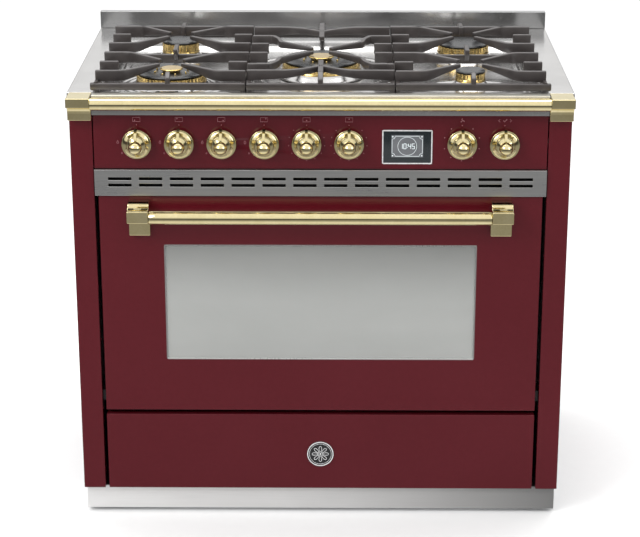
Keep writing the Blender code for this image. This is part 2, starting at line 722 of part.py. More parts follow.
def make_side_grate(name, side):
    """Frame of four low bars, with fingers that reach in to two burners."""
    inner, outer = GRATE_SPLIT + GRATE_GAP / 2.0, GRATE_OUTER
    x = mirrored(inner, outer, side)
    y = (behind(GRATE_FRONT), behind(GRATE_BACK))
    frame = grate_bar(x, (y[0], y[0] + BAR), FRONT_BAR_LOW, FRONT_BAR_HIGH)
    frame.name = name
    pieces = [grate_bar(x, (y[1] - BAR, y[1]), FRONT_BAR_LOW, GRATE_TOP - BAR_OVERLAP)]
    middle_y = behind((FRONT_BURNER + REAR_BURNER) / 2.0)
    pieces.append(grate_bar(x, (middle_y - BAR / 2.0, middle_y + BAR / 2.0), FRONT_BAR_LOW,
                            MIDDLE_BAR_HIGH))
    for edge in (x[0], x[1] - BAR):
        pieces.append(grate_bar((edge, edge + BAR), y, FRONT_BAR_LOW, SIDE_BAR_HIGH))
        for leg_y in (y[0] + BAR - BAR_OVERLAP, y[1] - BAR - GRATE_LEG + BAR_OVERLAP):
            leg_x = (edge, edge + BAR)
            if max(abs(edge), abs(edge + BAR)) > BASIN_X:
                leg_x = mirrored(BASIN_X - 0.001 - GRATE_LEG, BASIN_X - 0.001, side)
            pieces.append(box("leg", leg_x, (leg_y, leg_y + GRATE_LEG),
                              (BASIN_Z + TOUCH, from_hob(FRONT_BAR_HIGH - LEG_OVERLAP))))
    centre_x = side * SIDE_BURNER_X
    for depth in (FRONT_BURNER, REAR_BURNER):
        centre_y = behind(depth)
        for edge, way in ((x[0], 1), (x[1], -1)):
            for turn in (-1, 1):
                root_y = centre_y + turn * FINGER_SPREAD * GRATE_RATIO
                root_y = min(max(root_y, y[0] + BAR * 1.5), y[1] - BAR / 2.0 - BAR_OVERLAP)
                path = [(edge + way * BAR_OVERLAP, root_y), (edge + way * FINGER_STRAIGHT, root_y),
                        (centre_x - way * FINGER_TIP_X, centre_y + turn * FINGER_TIP_Y)]
                pieces += finger(path, FINGER_TIP_DEPTH)
            stub_x = mirrored(BAR_OVERLAP, STUB_LENGTH, way)
            stub_x = (edge + stub_x[0], edge + stub_x[1])
            pieces.append(grate_bar(stub_x, (centre_y - BAR / 2.0, centre_y + BAR / 2.0),
                                    GRATE_TOP - FINGER_DEPTH, GRATE_TOP))
    centre_bar = (centre_x - BAR / 2.0, centre_x + BAR / 2.0)
    runs = ((behind(GRATE_FRONT + BAR_OVERLAP), behind(GRATE_FRONT + FRONT_BAR_REACH)),
            (middle_y - MIDDLE_FINGER[0] * GRATE_RATIO, middle_y + MIDDLE_FINGER[1] * GRATE_RATIO),
            (behind(GRATE_BACK - BAR / 2.0), behind(REAR_LEG)))
    for run in runs:
        pieces.append(grate_bar(centre_bar, run, SIDE_BAR_HIGH - BAR_OVERLAP, GRATE_TOP))
    join(frame, pieces)
    paint(frame, "cast_iron")


def make_centre_grate():
    """Frame with combs at both sides, four cranked arms, and fingers front and rear."""
    half = GRATE_SPLIT - GRATE_GAP / 2.0
    y = (behind(GRATE_FRONT), behind(GRATE_BACK))
    frame = grate_bar((-half, half), (y[0], y[0] + BAR), FRONT_BAR_LOW, FRONT_BAR_HIGH)
    frame.name = "grate_centre"
    pieces = [grate_bar((-half, half), (y[1] - BAR, y[1]), FRONT_BAR_LOW, FRONT_BAR_HIGH)]
    centre_y = behind(CENTRE_BURNER)
    for side in (-1, 1):
        rail = mirrored(half - BAR, half, side)
        pieces.append(grate_bar(rail, y, FRONT_BAR_LOW, SIDE_BAR_HIGH))
        for leg_y in (y[0] + BAR - BAR_OVERLAP, y[1] - BAR - GRATE_LEG + BAR_OVERLAP):
            pieces.append(box("leg", rail, (leg_y, leg_y + GRATE_LEG),
                              (BASIN_Z + TOUCH, from_hob(FRONT_BAR_HIGH - LEG_OVERLAP))))
        for place in COMB_PLACES:
            comb_y = centre_y + place * GRATE_RATIO
            pieces.append(grate_bar(mirrored(half - STUB_LENGTH, half - BAR_OVERLAP, side),
                                    (comb_y - BAR / 2.0, comb_y + BAR / 2.0),
                                    GRATE_TOP - FINGER_DEPTH, GRATE_TOP))
        for turn in (-1, 1):
            root = centre_y + turn * ARM_ROOT * GRATE_RATIO
            crank_x = side * ARM_CRANK[0]
            crank_y = centre_y + turn * ARM_CRANK[1] * GRATE_RATIO
            start_x = side * (half - BAR_OVERLAP)
            path = [(start_x, root), (crank_x, root), (crank_x, crank_y),
                    (side * ARM_TIP[0], centre_y + turn * ARM_TIP[1])]
            pieces += finger(path, FINGER_TIP_DEPTH)
            edge = y[1] - ARCH_ROOT[1] if turn > 0 else y[0] + ARCH_ROOT[0]
            arch_end = edge - turn * ARCH_RISE * GRATE_RATIO
            path = [(start_x, edge), (side * ARCH_STRAIGHT, edge), (0.0, arch_end)]
            pieces += finger(path, FINGER_DEPTH)
    centre_bar = (-BAR / 2.0, BAR / 2.0)
    pieces.append(grate_bar(centre_bar, (y[0] + BAR_OVERLAP, centre_y - MIDDLE_CLEAR[0] * GRATE_RATIO),
                            SIDE_BAR_HIGH - BAR_OVERLAP, GRATE_TOP))
    pieces.append(grate_bar(centre_bar, (centre_y + MIDDLE_CLEAR[1] * GRATE_RATIO, behind(REAR_LEG)),
                            SIDE_BAR_HIGH - BAR_OVERLAP, GRATE_TOP))
    join(frame, pieces)
    paint(frame, "cast_iron")


# ---- control panel, knobs, display and vent strip ----

def knob_height():
    return from_hob(-KNOB_DROP)


def make_control_panel():
    item, hollow = tray("control_panel", (-PANEL_X, PANEL_X), (behind(0.0), behind(PANEL_DEPTH)),
                        (PANEL_BOTTOM, PANEL_TOP), SHEET, "back")
    holes = [hollow]
    for name, x in KNOBS:
        holes.append(cone("shaft_hole", (x, behind(0.0), knob_height()),
                          (SHAFT_RADIUS + SHAFT_CLEAR,) * 2, 0.020, FACING_FRONT, 16))
    window_x = DISPLAY_WIDTH / 2.0 - DISPLAY_RIM
    window_z = DISPLAY_HEIGHT / 2.0 - DISPLAY_RIM
    z = from_hob(-DISPLAY_DROP)
    holes.append(box("display_hole", (DISPLAY_X - window_x, DISPLAY_X + window_x),
                     (behind(-0.010), behind(0.010)), (z - window_z, z + window_z)))
    cut(item, holes)
    paint(item, "enamel")

    body_x, body_z = window_x - TOUCH, window_z - TOUCH
    item = box("clock_display", (DISPLAY_X - DISPLAY_WIDTH / 2.0, DISPLAY_X + DISPLAY_WIDTH / 2.0),
               (behind(-TOUCH - DISPLAY_RIM), behind(-TOUCH)),
               (z - DISPLAY_HEIGHT / 2.0, z + DISPLAY_HEIGHT / 2.0))
    body = box("display_body", (DISPLAY_X - body_x, DISPLAY_X + body_x),
               (behind(-TOUCH - DISPLAY_RIM / 2.0), behind(DISPLAY_DEPTH)),
               (z - body_z, z + body_z))
    join(item, [body])
    paint(item, "dark_glass")


def make_knobs():
    """Bell flange, ball and shaft in one turning, with a pointer lever over the bell."""
    ball = [(KNOB_BALL * math.sin(angle), KNOB_REACH - KNOB_BALL + KNOB_BALL * math.cos(angle))
            for angle in (math.radians(a) for a in (0, 35, 70, 105, 140))]
    bell = [(0.010, 0.0245), (0.020, 0.0215), (KNOB_RADIUS, 0.0165), (KNOB_RADIUS, 0.012),
            (0.0225, 0.0015), (SHAFT_RADIUS, 0.0015), (SHAFT_RADIUS, -SHAFT_DEPTH),
            (0.0, -SHAFT_DEPTH)]
    for name, x in KNOBS:
        item = turned(name, ball + bell, (x, behind(0.0), knob_height()), FACING_FRONT, steps=20)
        pointer = box("pointer", (x - POINTER_WIDTH / 2.0, x + POINTER_WIDTH / 2.0),
                      (behind(-0.030), behind(-0.0185)),
                      (knob_height() + 0.004, knob_height() + POINTER_REACH))
        join(item, [pointer])
        paint(item, "brass", smooth=True)


def make_vent_strip():
    half = POST_X - VENT_INSET
    item, hollow = tray("vent_strip", (-half, half), (behind(-VENT_REACH), behind(PANEL_DEPTH)),
                        (VENT_BOTTOM, VENT_TOP), SHEET, "back")
    slots = [hollow]
    middle = (VENT_BOTTOM + VENT_TOP) / 2.0 + 0.0015
    for column in range(SLOT_COLUMNS):
        x = (column - (SLOT_COLUMNS - 1) / 2.0) * SLOT_PITCH
        for row in range(SLOT_ROWS):
            z = middle + (row - (SLOT_ROWS - 1) / 2.0) * SLOT_ROW_PITCH
            slots.append(box("slot", (x - SLOT_WIDTH / 2.0, x + SLOT_WIDTH / 2.0),
                             (behind(-VENT_REACH - 0.005), behind(-VENT_REACH + 0.005)),
                             (z - SLOT_HEIGHT / 2.0, z + SLOT_HEIGHT / 2.0)))
    cut(item, slots)
    paint(item, "steel")


# ---- door ----

def make_door():
    """Enamelled outer pan and steel inner pan, each with a window and a glass, on two pins."""
    pins = []
    for side in (-1, 1):
        x = mirrored(DOOR_X - 0.030, DOOR_X + 0.010, side)
        middle = (x[0] + x[1]) / 2.0
        pins.append((middle, behind(PIVOT_DEPTH), PIVOT_Z))

    def pin_bores():
        return [cone("pin_bore", place, (PIVOT_PIN + PIVOT_CLEAR,) * 2, 0.040,
                     (0.0, math.radians(90), 0.0), 16) for place in pins]

    z = (DOOR_BOTTOM, DOOR_TOP)
    skin, hollow = tray("door_outer_panel", (-DOOR_X, DOOR_X), (behind(0.0), behind(DOOR_SKIN_DEPTH)),
                        z, SHEET, "back")
    window = box("window", (-WINDOW_X, WINDOW_X), (behind(-0.010), behind(0.010)),
                 (WINDOW_BOTTOM, WINDOW_UPPER))
    cut(skin, [hollow, window] + pin_bores())
    paint(skin, "enamel")

    glass_x = WINDOW_X + GLASS_LAP
    glass_y = behind(SHEET + TOUCH)
    glass = box("door_glass_outer", (-glass_x, glass_x), (glass_y, glass_y + GLASS),
                (WINDOW_BOTTOM - GLASS_LAP, WINDOW_UPPER + GLASS_LAP))
    paint(glass, "glass")

    inset = 0.003
    inner_x = DOOR_X - inset
    liner, hollow = tray("door_inner_panel", (-inner_x, inner_x),
                         (behind(DOOR_SKIN_DEPTH + TOUCH), behind(DOOR_DEPTH)),
                         (z[0] + inset, z[1] - inset), SHEET, "front")
    hole_x = WINDOW_X - INNER_WINDOW_INSET
    hole_z = (WINDOW_BOTTOM + INNER_WINDOW_INSET / 2.0, WINDOW_UPPER - INNER_WINDOW_INSET / 2.0)
    window = box("inner_window", (-hole_x, hole_x), (behind(DOOR_DEPTH - 0.010),
                 behind(DOOR_DEPTH + 0.010)), hole_z)
    cut(liner, [hollow, window] + pin_bores())
    paint(liner, "steel")

    lap = 0.010
    pane_y = behind(DOOR_DEPTH - SHEET - TOUCH)
    pane = box("door_glass_inner", (-hole_x - lap, hole_x + lap), (pane_y - GLASS, pane_y),
               (hole_z[0] - lap, hole_z[1] + lap))
    paint(pane, "glass")


def make_handle():
    bar_z = DOOR_TOP - HANDLE_DROP
    inner = DOOR_X - BRACKET_INNER
    bar = cone("door_handle_bar", (0.0, behind(-BAR_REACH), bar_z), (BAR_RADIUS, BAR_RADIUS),
               2.0 * (inner - TOUCH), (0.0, math.radians(90), 0.0))
    paint(bar, "brass", smooth=True)
    top = bar_z + BRACKET_RISE
    shoulder = bar_z + BAR_RADIUS + 0.002
    points = [(behind(-TOUCH), bar_z - BRACKET_FOOT), (behind(-BRACKET_FOOT_REACH), bar_z - BRACKET_FOOT),
              (behind(-BRACKET_FOOT_REACH), bar_z - BAR_RADIUS - 0.004)]
    for i in range(5):
        angle = math.radians(90.0 * i / 4.0)
        reach = BRACKET_FOOT_REACH + 0.022 * math.sin(angle)
        drop = BAR_RADIUS + 0.004 - (BAR_RADIUS + 0.004 - BRACKET_BLOCK) * (1.0 - math.cos(angle))
        points.append((behind(-reach), bar_z - drop))
    points += [(behind(-BRACKET_REACH), bar_z - BRACKET_BLOCK), (behind(-BRACKET_REACH), shoulder)]
    for i in range(1, 5):
        angle = math.radians(90.0 * i / 4.0)
        reach = BRACKET_REACH - 0.004 - (BRACKET_REACH - 0.004 - BRACKET_ARM) * math.sin(angle)
        points.append((behind(-reach), top - (top - shoulder) * math.cos(angle)))
    points.append((behind(-TOUCH), top))
    for side, word in ((-1, "left"), (1, "right")):
        middle = side * (inner + BRACKET_WIDTH / 2.0)
        bracket = outline("handle_bracket_" + word, points, BRACKET_WIDTH,
                          (middle, 0.0, 0.0), ALONG_X)
        paint(bracket, "brass")


def make_hinges():
    """A plate from the front frame beside the door, with the pin that the door turns on."""
    for side, word in ((-1, "left"), (1, "right")):
        x = mirrored(DOOR_X + 0.0012, DOOR_X + DOOR_GAP - 0.0008, side)
        item = box("hinge_" + word, x, (behind(PIVOT_DEPTH - 0.010), behind(FRAME_SETBACK - TOUCH)),
                   (PIVOT_Z - 0.010, PIVOT_Z + 0.010))
        reach = mirrored(DOOR_X - 0.016, DOOR_X + DOOR_GAP - 0.003, side)
        pin = cone("pin", ((reach[0] + reach[1]) / 2.0, behind(PIVOT_DEPTH), PIVOT_Z),
                   (PIVOT_PIN, PIVOT_PIN), reach[1] - reach[0], (0.0, math.radians(90), 0.0), 16)
        join(item, [pin])
        paint(item, "galvanised")


# ---- drawer ----

def make_drawer():
    z = (CABINET_BOTTOM + TOUCH, DRAWER_TOP)
    front, hollow = tray("drawer_front", (-DOOR_X, DOOR_X), (behind(0.0), behind(DRAWER_SKIN_DEPTH)),
                         z, SHEET, "back")
    cut(front, [hollow])
    paint(front, "enamel")
    start = behind(DRAWER_SKIN_DEPTH + TOUCH)
    tub, hollow = tray("drawer_box", (-DRAWER_BOX_X, DRAWER_BOX_X), (start, start + DRAWER_BOX_DEPTH),
                       (DRAWER_FLOOR, DRAWER_FLOOR + DRAWER_BOX_HEIGHT), SHEET, "above")
    cut(tub, [hollow])
    paint(tub, "galvanised")
    profile = [(0.0, BADGE_THICKNESS), (BADGE_RADIUS - 0.001, BADGE_THICKNESS),
               (BADGE_RADIUS, BADGE_THICKNESS - 0.001), (BADGE_RADIUS, TOUCH), (0.0, TOUCH)]
    badge = turned("drawer_badge", profile, (0.0, behind(0.0), CABINET_BOTTOM + BADGE_RISE),
                   FACING_FRONT, steps=32)
    paint(badge, "dark_glass", smooth=True)


# ---- oven ----

def make_cavity():
    """Enamelled box, open at the front, with a thick flange round its mouth."""
    face, back = behind(CAVITY_FACE), behind(CAVITY_BACK)
    x = (-CAVITY_X, CAVITY_X)
    z = (CAVITY_BOTTOM, CAVITY_TOP)
    item = box("oven_cavity", (x[0] - SHEET, x[1] + SHEET), (face + SHEET, back + SHEET),
               (z[0] - SHEET, z[1] + SHEET))
    flange = box("flange", (x[0] - FLANGE_WIDTH, x[1] + FLANGE_WIDTH),
                 (face, behind(FRAME_SETBACK - TOUCH)), (FLANGE_BOTTOM, FLANGE_TOP))
    join(item, [flange])
    cut(item, [box("inside", x, (face - 0.010, back), z)])
    paint(item, "cavity_enamel")


def make_guides_and_rack():
    front, back = CAVITY_FACE + RACK_FRONT, CAVITY_BACK - FAN_COVER_DEPTH - RACK_BACK
    y = (behind(front), behind(back))
    low, high = CAVITY_BOTTOM + 0.020, CAVITY_TOP - 0.035
    rack_z = CAVITY_BOTTOM + RACK_LEVEL * (CAVITY_TOP - CAVITY_BOTTOM)
    levels = 5
    step = (high - low) / (levels - 1)
    for side, word in ((-1, "left"), (1, "right")):
        x = mirrored(CAVITY_X - GUIDE_STAND - GUIDE_WIRE, CAVITY_X - GUIDE_STAND, side)
        item = box("rack_guide_" + word, x, (y[0], y[0] + GUIDE_WIRE), (low, high + GUIDE_WIRE))
        bars = [box("post", x, (y[1] - GUIDE_WIRE, y[1]), (low, high + GUIDE_WIRE))]
        for level in range(levels):
            z = low + level * step
            bars.append(box("rung", x, y, (z, z + GUIDE_WIRE)))
        for end in (y[0] + 0.030, y[1] - 0.030):
            foot_x = mirrored(CAVITY_X - GUIDE_STAND - GUIDE_WIRE / 2.0, CAVITY_X - TOUCH, side)
            bars.append(box("foot", foot_x, (end, end + GUIDE_WIRE), (low, low + GUIDE_WIRE)))
        join(item, bars)
        paint(item, "chrome")
    half = CAVITY_X - GUIDE_STAND - GUIDE_WIRE - 0.002
    z = (rack_z, rack_z + RACK_WIRE)
    item = box("oven_rack", (-half, half), (y[0], y[0] + RACK_WIRE * 1.5), z)
    wires = [box("rear_wire", (-half, half), (y[1] - RACK_WIRE * 1.5, y[1]), z),
             box("cross_wire", (-half, half), ((y[0] + y[1] - RACK_WIRE) / 2.0,
                 (y[0] + y[1] + RACK_WIRE) / 2.0), (z[0] - RACK_WIRE / 2.0, z[0] + RACK_WIRE / 2.0))]
    for i in range(RACK_WIRES):
        x = -half + (2.0 * half - RACK_WIRE) * i / (RACK_WIRES - 1)
        wires.append(box("wire", (x, x + RACK_WIRE), y, z))
    join(item, wires)
    paint(item, "chrome")


def make_fan():
    """Convection fan on its shaft, inside a slotted cover on the rear wall."""
    wall = CAVITY_BACK
    cover_face = wall - FAN_COVER_DEPTH
    rim, skin = FAN_COVER_RADIUS, 0.0015
    profile = [(0.0, FAN_COVER_DEPTH), (rim - 0.006, FAN_COVER_DEPTH), (rim, FAN_COVER_DEPTH - 0.006),
               (rim, TOUCH), (rim - skin, TOUCH), (rim - skin, FAN_COVER_DEPTH - 0.0065),
               (rim - 0.0065, FAN_COVER_DEPTH - skin), (0.0, FAN_COVER_DEPTH - skin)]
    centre = (0.0, behind(wall), CAVITY_MIDDLE)
    cover = turned("fan_cover", profile, centre, FACING_FRONT, steps=32)
    slots = []
    for i in range(COVER_SLOTS):
        angle = CIRCLE * i / COVER_SLOTS
        slot = box("cover_slot", (-0.005, 0.005), (-0.010, 0.010), (-0.020, 0.020))
        reach = SLOT_RING_SHARE * FAN_COVER_RADIUS
        slot.location = (reach * math.sin(angle), behind(cover_face),
                         CAVITY_MIDDLE + reach * math.cos(angle))
        slot.rotation_euler = (0.0, angle, 0.0)
        slots.append(slot)
    cut(cover, slots)
    paint(cover, "steel", smooth=True)

    hub = cone("convection_fan", (0.0, behind(wall - 0.003 - FAN_DEPTH / 2.0), CAVITY_MIDDLE),
               (0.012, 0.012), FAN_DEPTH, FACING_FRONT, 16)
    blades = [cone("shaft", (0.0, behind(wall + 0.006), CAVITY_MIDDLE),
                   (FAN_SHAFT / 2.0,) * 2, 0.030, FACING_FRONT, 12)]
    for i in range(FAN_BLADES):
        angle = CIRCLE * i / FAN_BLADES
        reach = FAN_RADIUS / 2.0 + 0.005
        blade = box("blade", (-0.001, 0.001), (-FAN_DEPTH / 2.0, FAN_DEPTH / 2.0),
                    (-FAN_RADIUS / 2.0 + 0.003, FAN_RADIUS / 2.0 - 0.005))
        blade.location = (reach * math.sin(angle), behind(wall - 0.003 - FAN_DEPTH / 2.0),
                          CAVITY_MIDDLE + reach * math.cos(angle))
        blade.rotation_euler = (0.0, angle, 0.0)
        blades.append(blade)
    join(hub, blades)
    paint(hub, "steel")
    bore = cone("fan_bore", (0.0, behind(wall), CAVITY_MIDDLE), (FAN_SHAFT / 2.0 + 0.001,) * 2,
                0.050, FACING_FRONT, 12)
    cut(bpy.data.objects["oven_cavity"], [bore])


def make_element():
    """Grill element: a looped rod below the cavity's roof, its two ends at the rear wall."""
    z = CAVITY_TOP - ELEMENT_DROP
    half = CAVITY_X - 0.080
    front, back = CAVITY_FACE + 0.070, CAVITY_BACK - TOUCH
    loop_back = back - 0.060
    quarter = half / 3.0
    places = [(-quarter / 2.0, back), (-quarter / 2.0, loop_back), (-half, loop_back),
              (-half, front), (-quarter, front), (-quarter, loop_back - 0.060),
              (quarter, loop_back - 0.060), (quarter, front), (half, front),
              (half, loop_back), (quarter / 2.0, loop_back), (quarter / 2.0, back)]
    points = [(x, behind(depth), z) for x, depth in places]
    paint(tube("grill_element", points, ELEMENT_RADIUS), "chrome", smooth=True)


# ---- gas and mains connections ----

def manifold_height():
    return knob_height() - 0.014


def make_manifold():
    """Gas pipe behind the control panel with a tap behind each burner knob, led to the back."""
    z = manifold_height()
    pipe_x = SIDE_X - PIPE_SIDE
    first = KNOBS[0][1] - 0.025
    points = [(first, behind(MANIFOLD_DEPTH), z), (pipe_x, behind(MANIFOLD_DEPTH), z),
              (pipe_x, behind(BACK_PANEL + INLET_REACH), z)]
    item = tube("gas_manifold", points, MANIFOLD_RADIUS)
    taps = []
    for name, x in KNOBS[:TAP_COUNT]:
        taps.append(box("tap", (x - TAP_SIZE / 2.0, x + TAP_SIZE / 2.0),
                        (behind(SHAFT_DEPTH + TOUCH), behind(MANIFOLD_DEPTH)),
                        (knob_height() - TAP_SIZE, knob_height() + TAP_SIZE / 2.0)))
    join(item, taps)
    paint(item, "galvanised")


def make_terminal_box():
    """Mains terminal box on the back, with the gland that a lead would enter."""
    y = (behind(BACK_PANEL + TOUCH), behind(BODY_DEPTH - 0.0025))
    item = box("terminal_box", (TERMINAL_X - TERMINAL_WIDTH / 2.0, TERMINAL_X + TERMINAL_WIDTH / 2.0),
               y, (TERMINAL_Z - TERMINAL_HEIGHT / 2.0, TERMINAL_Z + TERMINAL_HEIGHT / 2.0))
    gland = cone("gland", (TERMINAL_X, (y[0] + y[1]) / 2.0, TERMINAL_Z - TERMINAL_HEIGHT / 2.0),
                 (GLAND_RADIUS * 0.85, GLAND_RADIUS * 0.85), 0.024, segments=16)
    join(item, [gland])
    paint(item, "black_plastic")


clear_scene()
PARTS = new_collection("gas_range", bpy.context.scene.collection)
CUTTERS = new_collection("cutters", bpy.context.scene.collection)
make_side_panels()
make_back_panel()
make_base()
make_front_frame()
make_hob_top()
make_upstand()
make_rail_and_corners()
make_burners()
make_side_grate("grate_left", -1)
make_side_grate("grate_right", 1)
make_centre_grate()
make_control_panel()
make_knobs()
make_vent_strip()
make_door()
make_handle()
make_hinges()
make_drawer()
make_cavity()
make_guides_and_rack()
make_fan()
make_element()
make_manifold()
make_terminal_box()
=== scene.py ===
import json
import math
import bpy
import bmesh
import numpy as np
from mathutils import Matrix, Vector

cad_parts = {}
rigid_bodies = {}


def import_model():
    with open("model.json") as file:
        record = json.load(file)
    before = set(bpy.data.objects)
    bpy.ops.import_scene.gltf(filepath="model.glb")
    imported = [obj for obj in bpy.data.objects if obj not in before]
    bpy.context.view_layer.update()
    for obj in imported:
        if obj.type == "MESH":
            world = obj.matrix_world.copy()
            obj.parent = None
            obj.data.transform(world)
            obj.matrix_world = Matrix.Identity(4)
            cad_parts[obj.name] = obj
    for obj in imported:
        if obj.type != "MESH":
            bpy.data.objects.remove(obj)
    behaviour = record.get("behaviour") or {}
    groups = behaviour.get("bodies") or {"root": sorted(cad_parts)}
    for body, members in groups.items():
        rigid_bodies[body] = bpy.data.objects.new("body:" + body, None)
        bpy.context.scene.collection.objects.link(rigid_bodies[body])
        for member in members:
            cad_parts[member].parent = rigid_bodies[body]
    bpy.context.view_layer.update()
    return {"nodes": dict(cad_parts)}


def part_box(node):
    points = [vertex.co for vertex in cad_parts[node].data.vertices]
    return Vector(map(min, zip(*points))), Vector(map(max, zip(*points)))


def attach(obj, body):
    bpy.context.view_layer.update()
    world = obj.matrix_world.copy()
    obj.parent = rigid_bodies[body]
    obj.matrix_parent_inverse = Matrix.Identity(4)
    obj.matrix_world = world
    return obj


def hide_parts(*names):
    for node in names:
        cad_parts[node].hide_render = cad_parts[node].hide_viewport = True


# Looks of the gas range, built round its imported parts. Metres, +Z up, the front faces -Y.
for thing in list(bpy.data.objects):
    bpy.data.objects.remove(thing)
print("loading the packed range")
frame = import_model()
nodes = frame["nodes"]

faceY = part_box("control_panel")[0].y      # the control panel's face
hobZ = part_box("hob_top")[1].z             # the hob's flat strips


def middle(node):
    low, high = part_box(node)
    return (low + high) / 2


# ---- shapes: each is (points, quads), worked out as whole arrays ----

def gridQuads(rows, columns, closeRows=False, closeColumns=False):
    # neighbouring points of a rows x columns grid, joined four by four
    row = np.arange(rows if closeRows else rows - 1)
    column = np.arange(columns if closeColumns else columns - 1)
    a, b = np.meshgrid(row, column, indexing="ij")
    nextA, nextB = (a + 1) % rows, (b + 1) % columns
    return np.stack([a * columns + b, a * columns + nextB,
                     nextA * columns + nextB, nextA * columns + b], -1).reshape(-1, 4)


def sheet(points):
    # an open surface from an array of rows, columns, xyz
    return points.reshape(-1, 3), gridQuads(points.shape[0], points.shape[1])


def tube(points, loop=False):
    # rows of closed outlines; the first and last rows are drawn together to a pole
    if not loop:
        poles = points.mean(axis=1, keepdims=True).repeat(points.shape[1], axis=1)
        points = np.concatenate([poles[:1], points, poles[-1:]])
    return points.reshape(-1, 3), gridQuads(points.shape[0], points.shape[1], loop, True)


def joined(shapes):
    # many shapes as one
    starts = np.cumsum([0] + [len(points) for points, quads in shapes])
    return (np.concatenate([points for points, quads in shapes]),
            np.concatenate([quads + start for (points, quads), start in zip(shapes, starts)]))


def moved(shape, x=0.0, y=0.0, z=0.0, mirror=False, turn=0.0):
    # a shape turned about Z, mirrored in X and shifted
    points, quads = shape
    c, s = math.cos(turn), math.sin(turn)
    points = points @ np.array([[c, s, 0], [-s, c, 0], [0, 0, 1.0]])
    if mirror:
        points, quads = points * (-1, 1, 1), quads[:, ::-1]
    return points + (x, y, z), quads


def facing(shape, x=0.0, y=0.0, z=0.0):
    # a shape drawn round Z, laid so that its Z points out of the front, then shifted
    points, quads = shape
    return points @ np.array([[1.0, 0, 0], [0, 0, 1], [0, -1, 0]]) + (x, y, z), quads


def softened(corners, cut, steps=4):
    # a polyline whose inner corners become quadratic curves: (1-t)^2 a + 2t(1-t) corner + t^2 b
    corners = np.array(corners, float)
    corner, before, after = corners[1:-1], corners[:-2] - corners[1:-1], corners[2:] - corners[1:-1]
    reach = np.stack([np.linalg.norm(before, axis=1), np.linalg.norm(after, axis=1)])
    size = np.minimum(np.minimum(reach[0], reach[1]) * 0.49, cut)[:, None]
    a = corner + before / reach[0][:, None] * size
    b = corner + after / reach[1][:, None] * size
    t = np.linspace(0, 1, steps + 1)[None, :, None]
    curve = (1 - t) ** 2 * a[:, None] + 2 * t * (1 - t) * corner[:, None] + t ** 2 * b[:, None]
    return np.concatenate([corners[:1], curve.reshape(-1, corners.shape[1]), corners[-1:]])


def roundedOutline(width, height, radius, steps=3):
    # a rectangle with quarter circles for corners, anticlockwise
    quarter = np.linspace(0, math.pi / 2, steps + 1)
    angle = (quarter[None, :] + np.arange(4)[:, None] * math.pi / 2).ravel()
    signs = np.array([[1, 1], [-1, 1], [-1, -1], [1, -1]]).repeat(steps + 1, axis=0)
    centre = signs * (width / 2 - radius, height / 2 - radius)
    return centre + radius * np.stack([np.cos(angle), np.sin(angle)], 1)


def sweep(path, outline, up=(0, 0, 1), scale=None, loop=False):
    # the outline carried along the path: its first number runs sideways, its second along up
    path, outline = np.array(path, float), np.array(outline, float)
    if loop:
        ahead = np.roll(path, -1, axis=0) - np.roll(path, 1, axis=0)
    else:
        ahead = np.gradient(path, axis=0)
    ahead /= np.linalg.norm(ahead, axis=1)[:, None]
    side = np.cross(ahead, np.array(up, float))
    side /= np.linalg.norm(side, axis=1)[:, None]
    lift = np.cross(side, ahead)
    scale = np.ones((len(path), 2)) if scale is None else np.array(scale, float)
    points = (path[:, None] + side[:, None] * (outline[None, :, :1] * scale[:, None, :1])
              + lift[:, None] * (outline[None, :, 1:] * scale[:, None, 1:]))
    return tube(points, loop)


def rod(start, end, width, height, radius, up=(0, 0, 1), steps=3):
    # a straight bar with its long edges and its ends rounded by the same radius
    start, end = np.array(start, float), np.array(end, float)
    length = np.linalg.norm(end - start)
    angle = np.linspace(0, math.pi / 2, steps + 1)
    inset, run = radius * (1 - np.sin(angle)), radius * (1 - np.cos(angle))
    run, inset = np.concatenate([run, length - run[::-1]]), np.concatenate([inset, inset[::-1]])
    scale = np.stack([1 - 2 * inset / width, 1 - 2 * inset / height], 1)
    path = start + (end - start) / length * run[:, None]
    return sweep(path, roundedOutline(width, height, radius, steps), up, scale)


def block(low, high, radius, steps=3):
    # a box with rounded edges between two corners
    low, high = np.array(low, float), np.array(high, float)
    size, centre = high - low, (high + low) / 2
    return rod((low[0], centre[1], centre[2]), (high[0], centre[1], centre[2]),
               size[1], size[2], radius, (0, 0, 1), steps)


def lathe(profile, count=64, wave=None):
    # each (radius, height) carried round Z; wave(angle, height) multiplies the radius
    profile = np.array(profile, float)
    angle = np.linspace(0, 2 * math.pi, count, endpoint=False)
    radius = profile[:, :1] * np.ones(count)[None]
    if wave is not None:
        radius = radius * wave(angle[None, :], profile[:, 1:])
    points = np.stack([radius * np.cos(angle), radius * np.sin(angle),
                       profile[:, 1:] * np.ones(count)[None]], -1)
    return tube(points)


def wire(points, radius, count=10, cut=0.012, up=(0, 0, 1)):
    # a round wire bent along a polyline
    angle = np.linspace(0, 2 * math.pi, count, endpoint=False)
    return sweep(softened(points, cut, 5), radius * np.stack([np.cos(angle), np.sin(angle)], 1), up)


def ring(radius, width, height, count=48):
    # a flat washer: a small rectangle carried round Z
    angle = np.linspace(0, 2 * math.pi, count, endpoint=False)
    profile = np.array([[radius - width / 2, 0], [radius + width / 2, 0],
                        [radius + width / 2, height], [radius - width / 2, height]])
    points = np.stack([profile[None, :, 0] * np.cos(angle)[:, None],
                       profile[None, :, 0] * np.sin(angle)[:, None],
                       profile[None, :, 1] * np.ones(count)[:, None]], -1)
    return tube(points, loop=True)


def stroke(points, width, height=0.0002):
    # a flat printed line along a polyline in XY
    points = np.array([(x, y, height / 2) for x, y in points], float)
    outline = np.array([[-1, -1], [1, -1], [1, 1], [-1, 1]]) * (width / 2, height / 2)
    return sweep(points, outline)


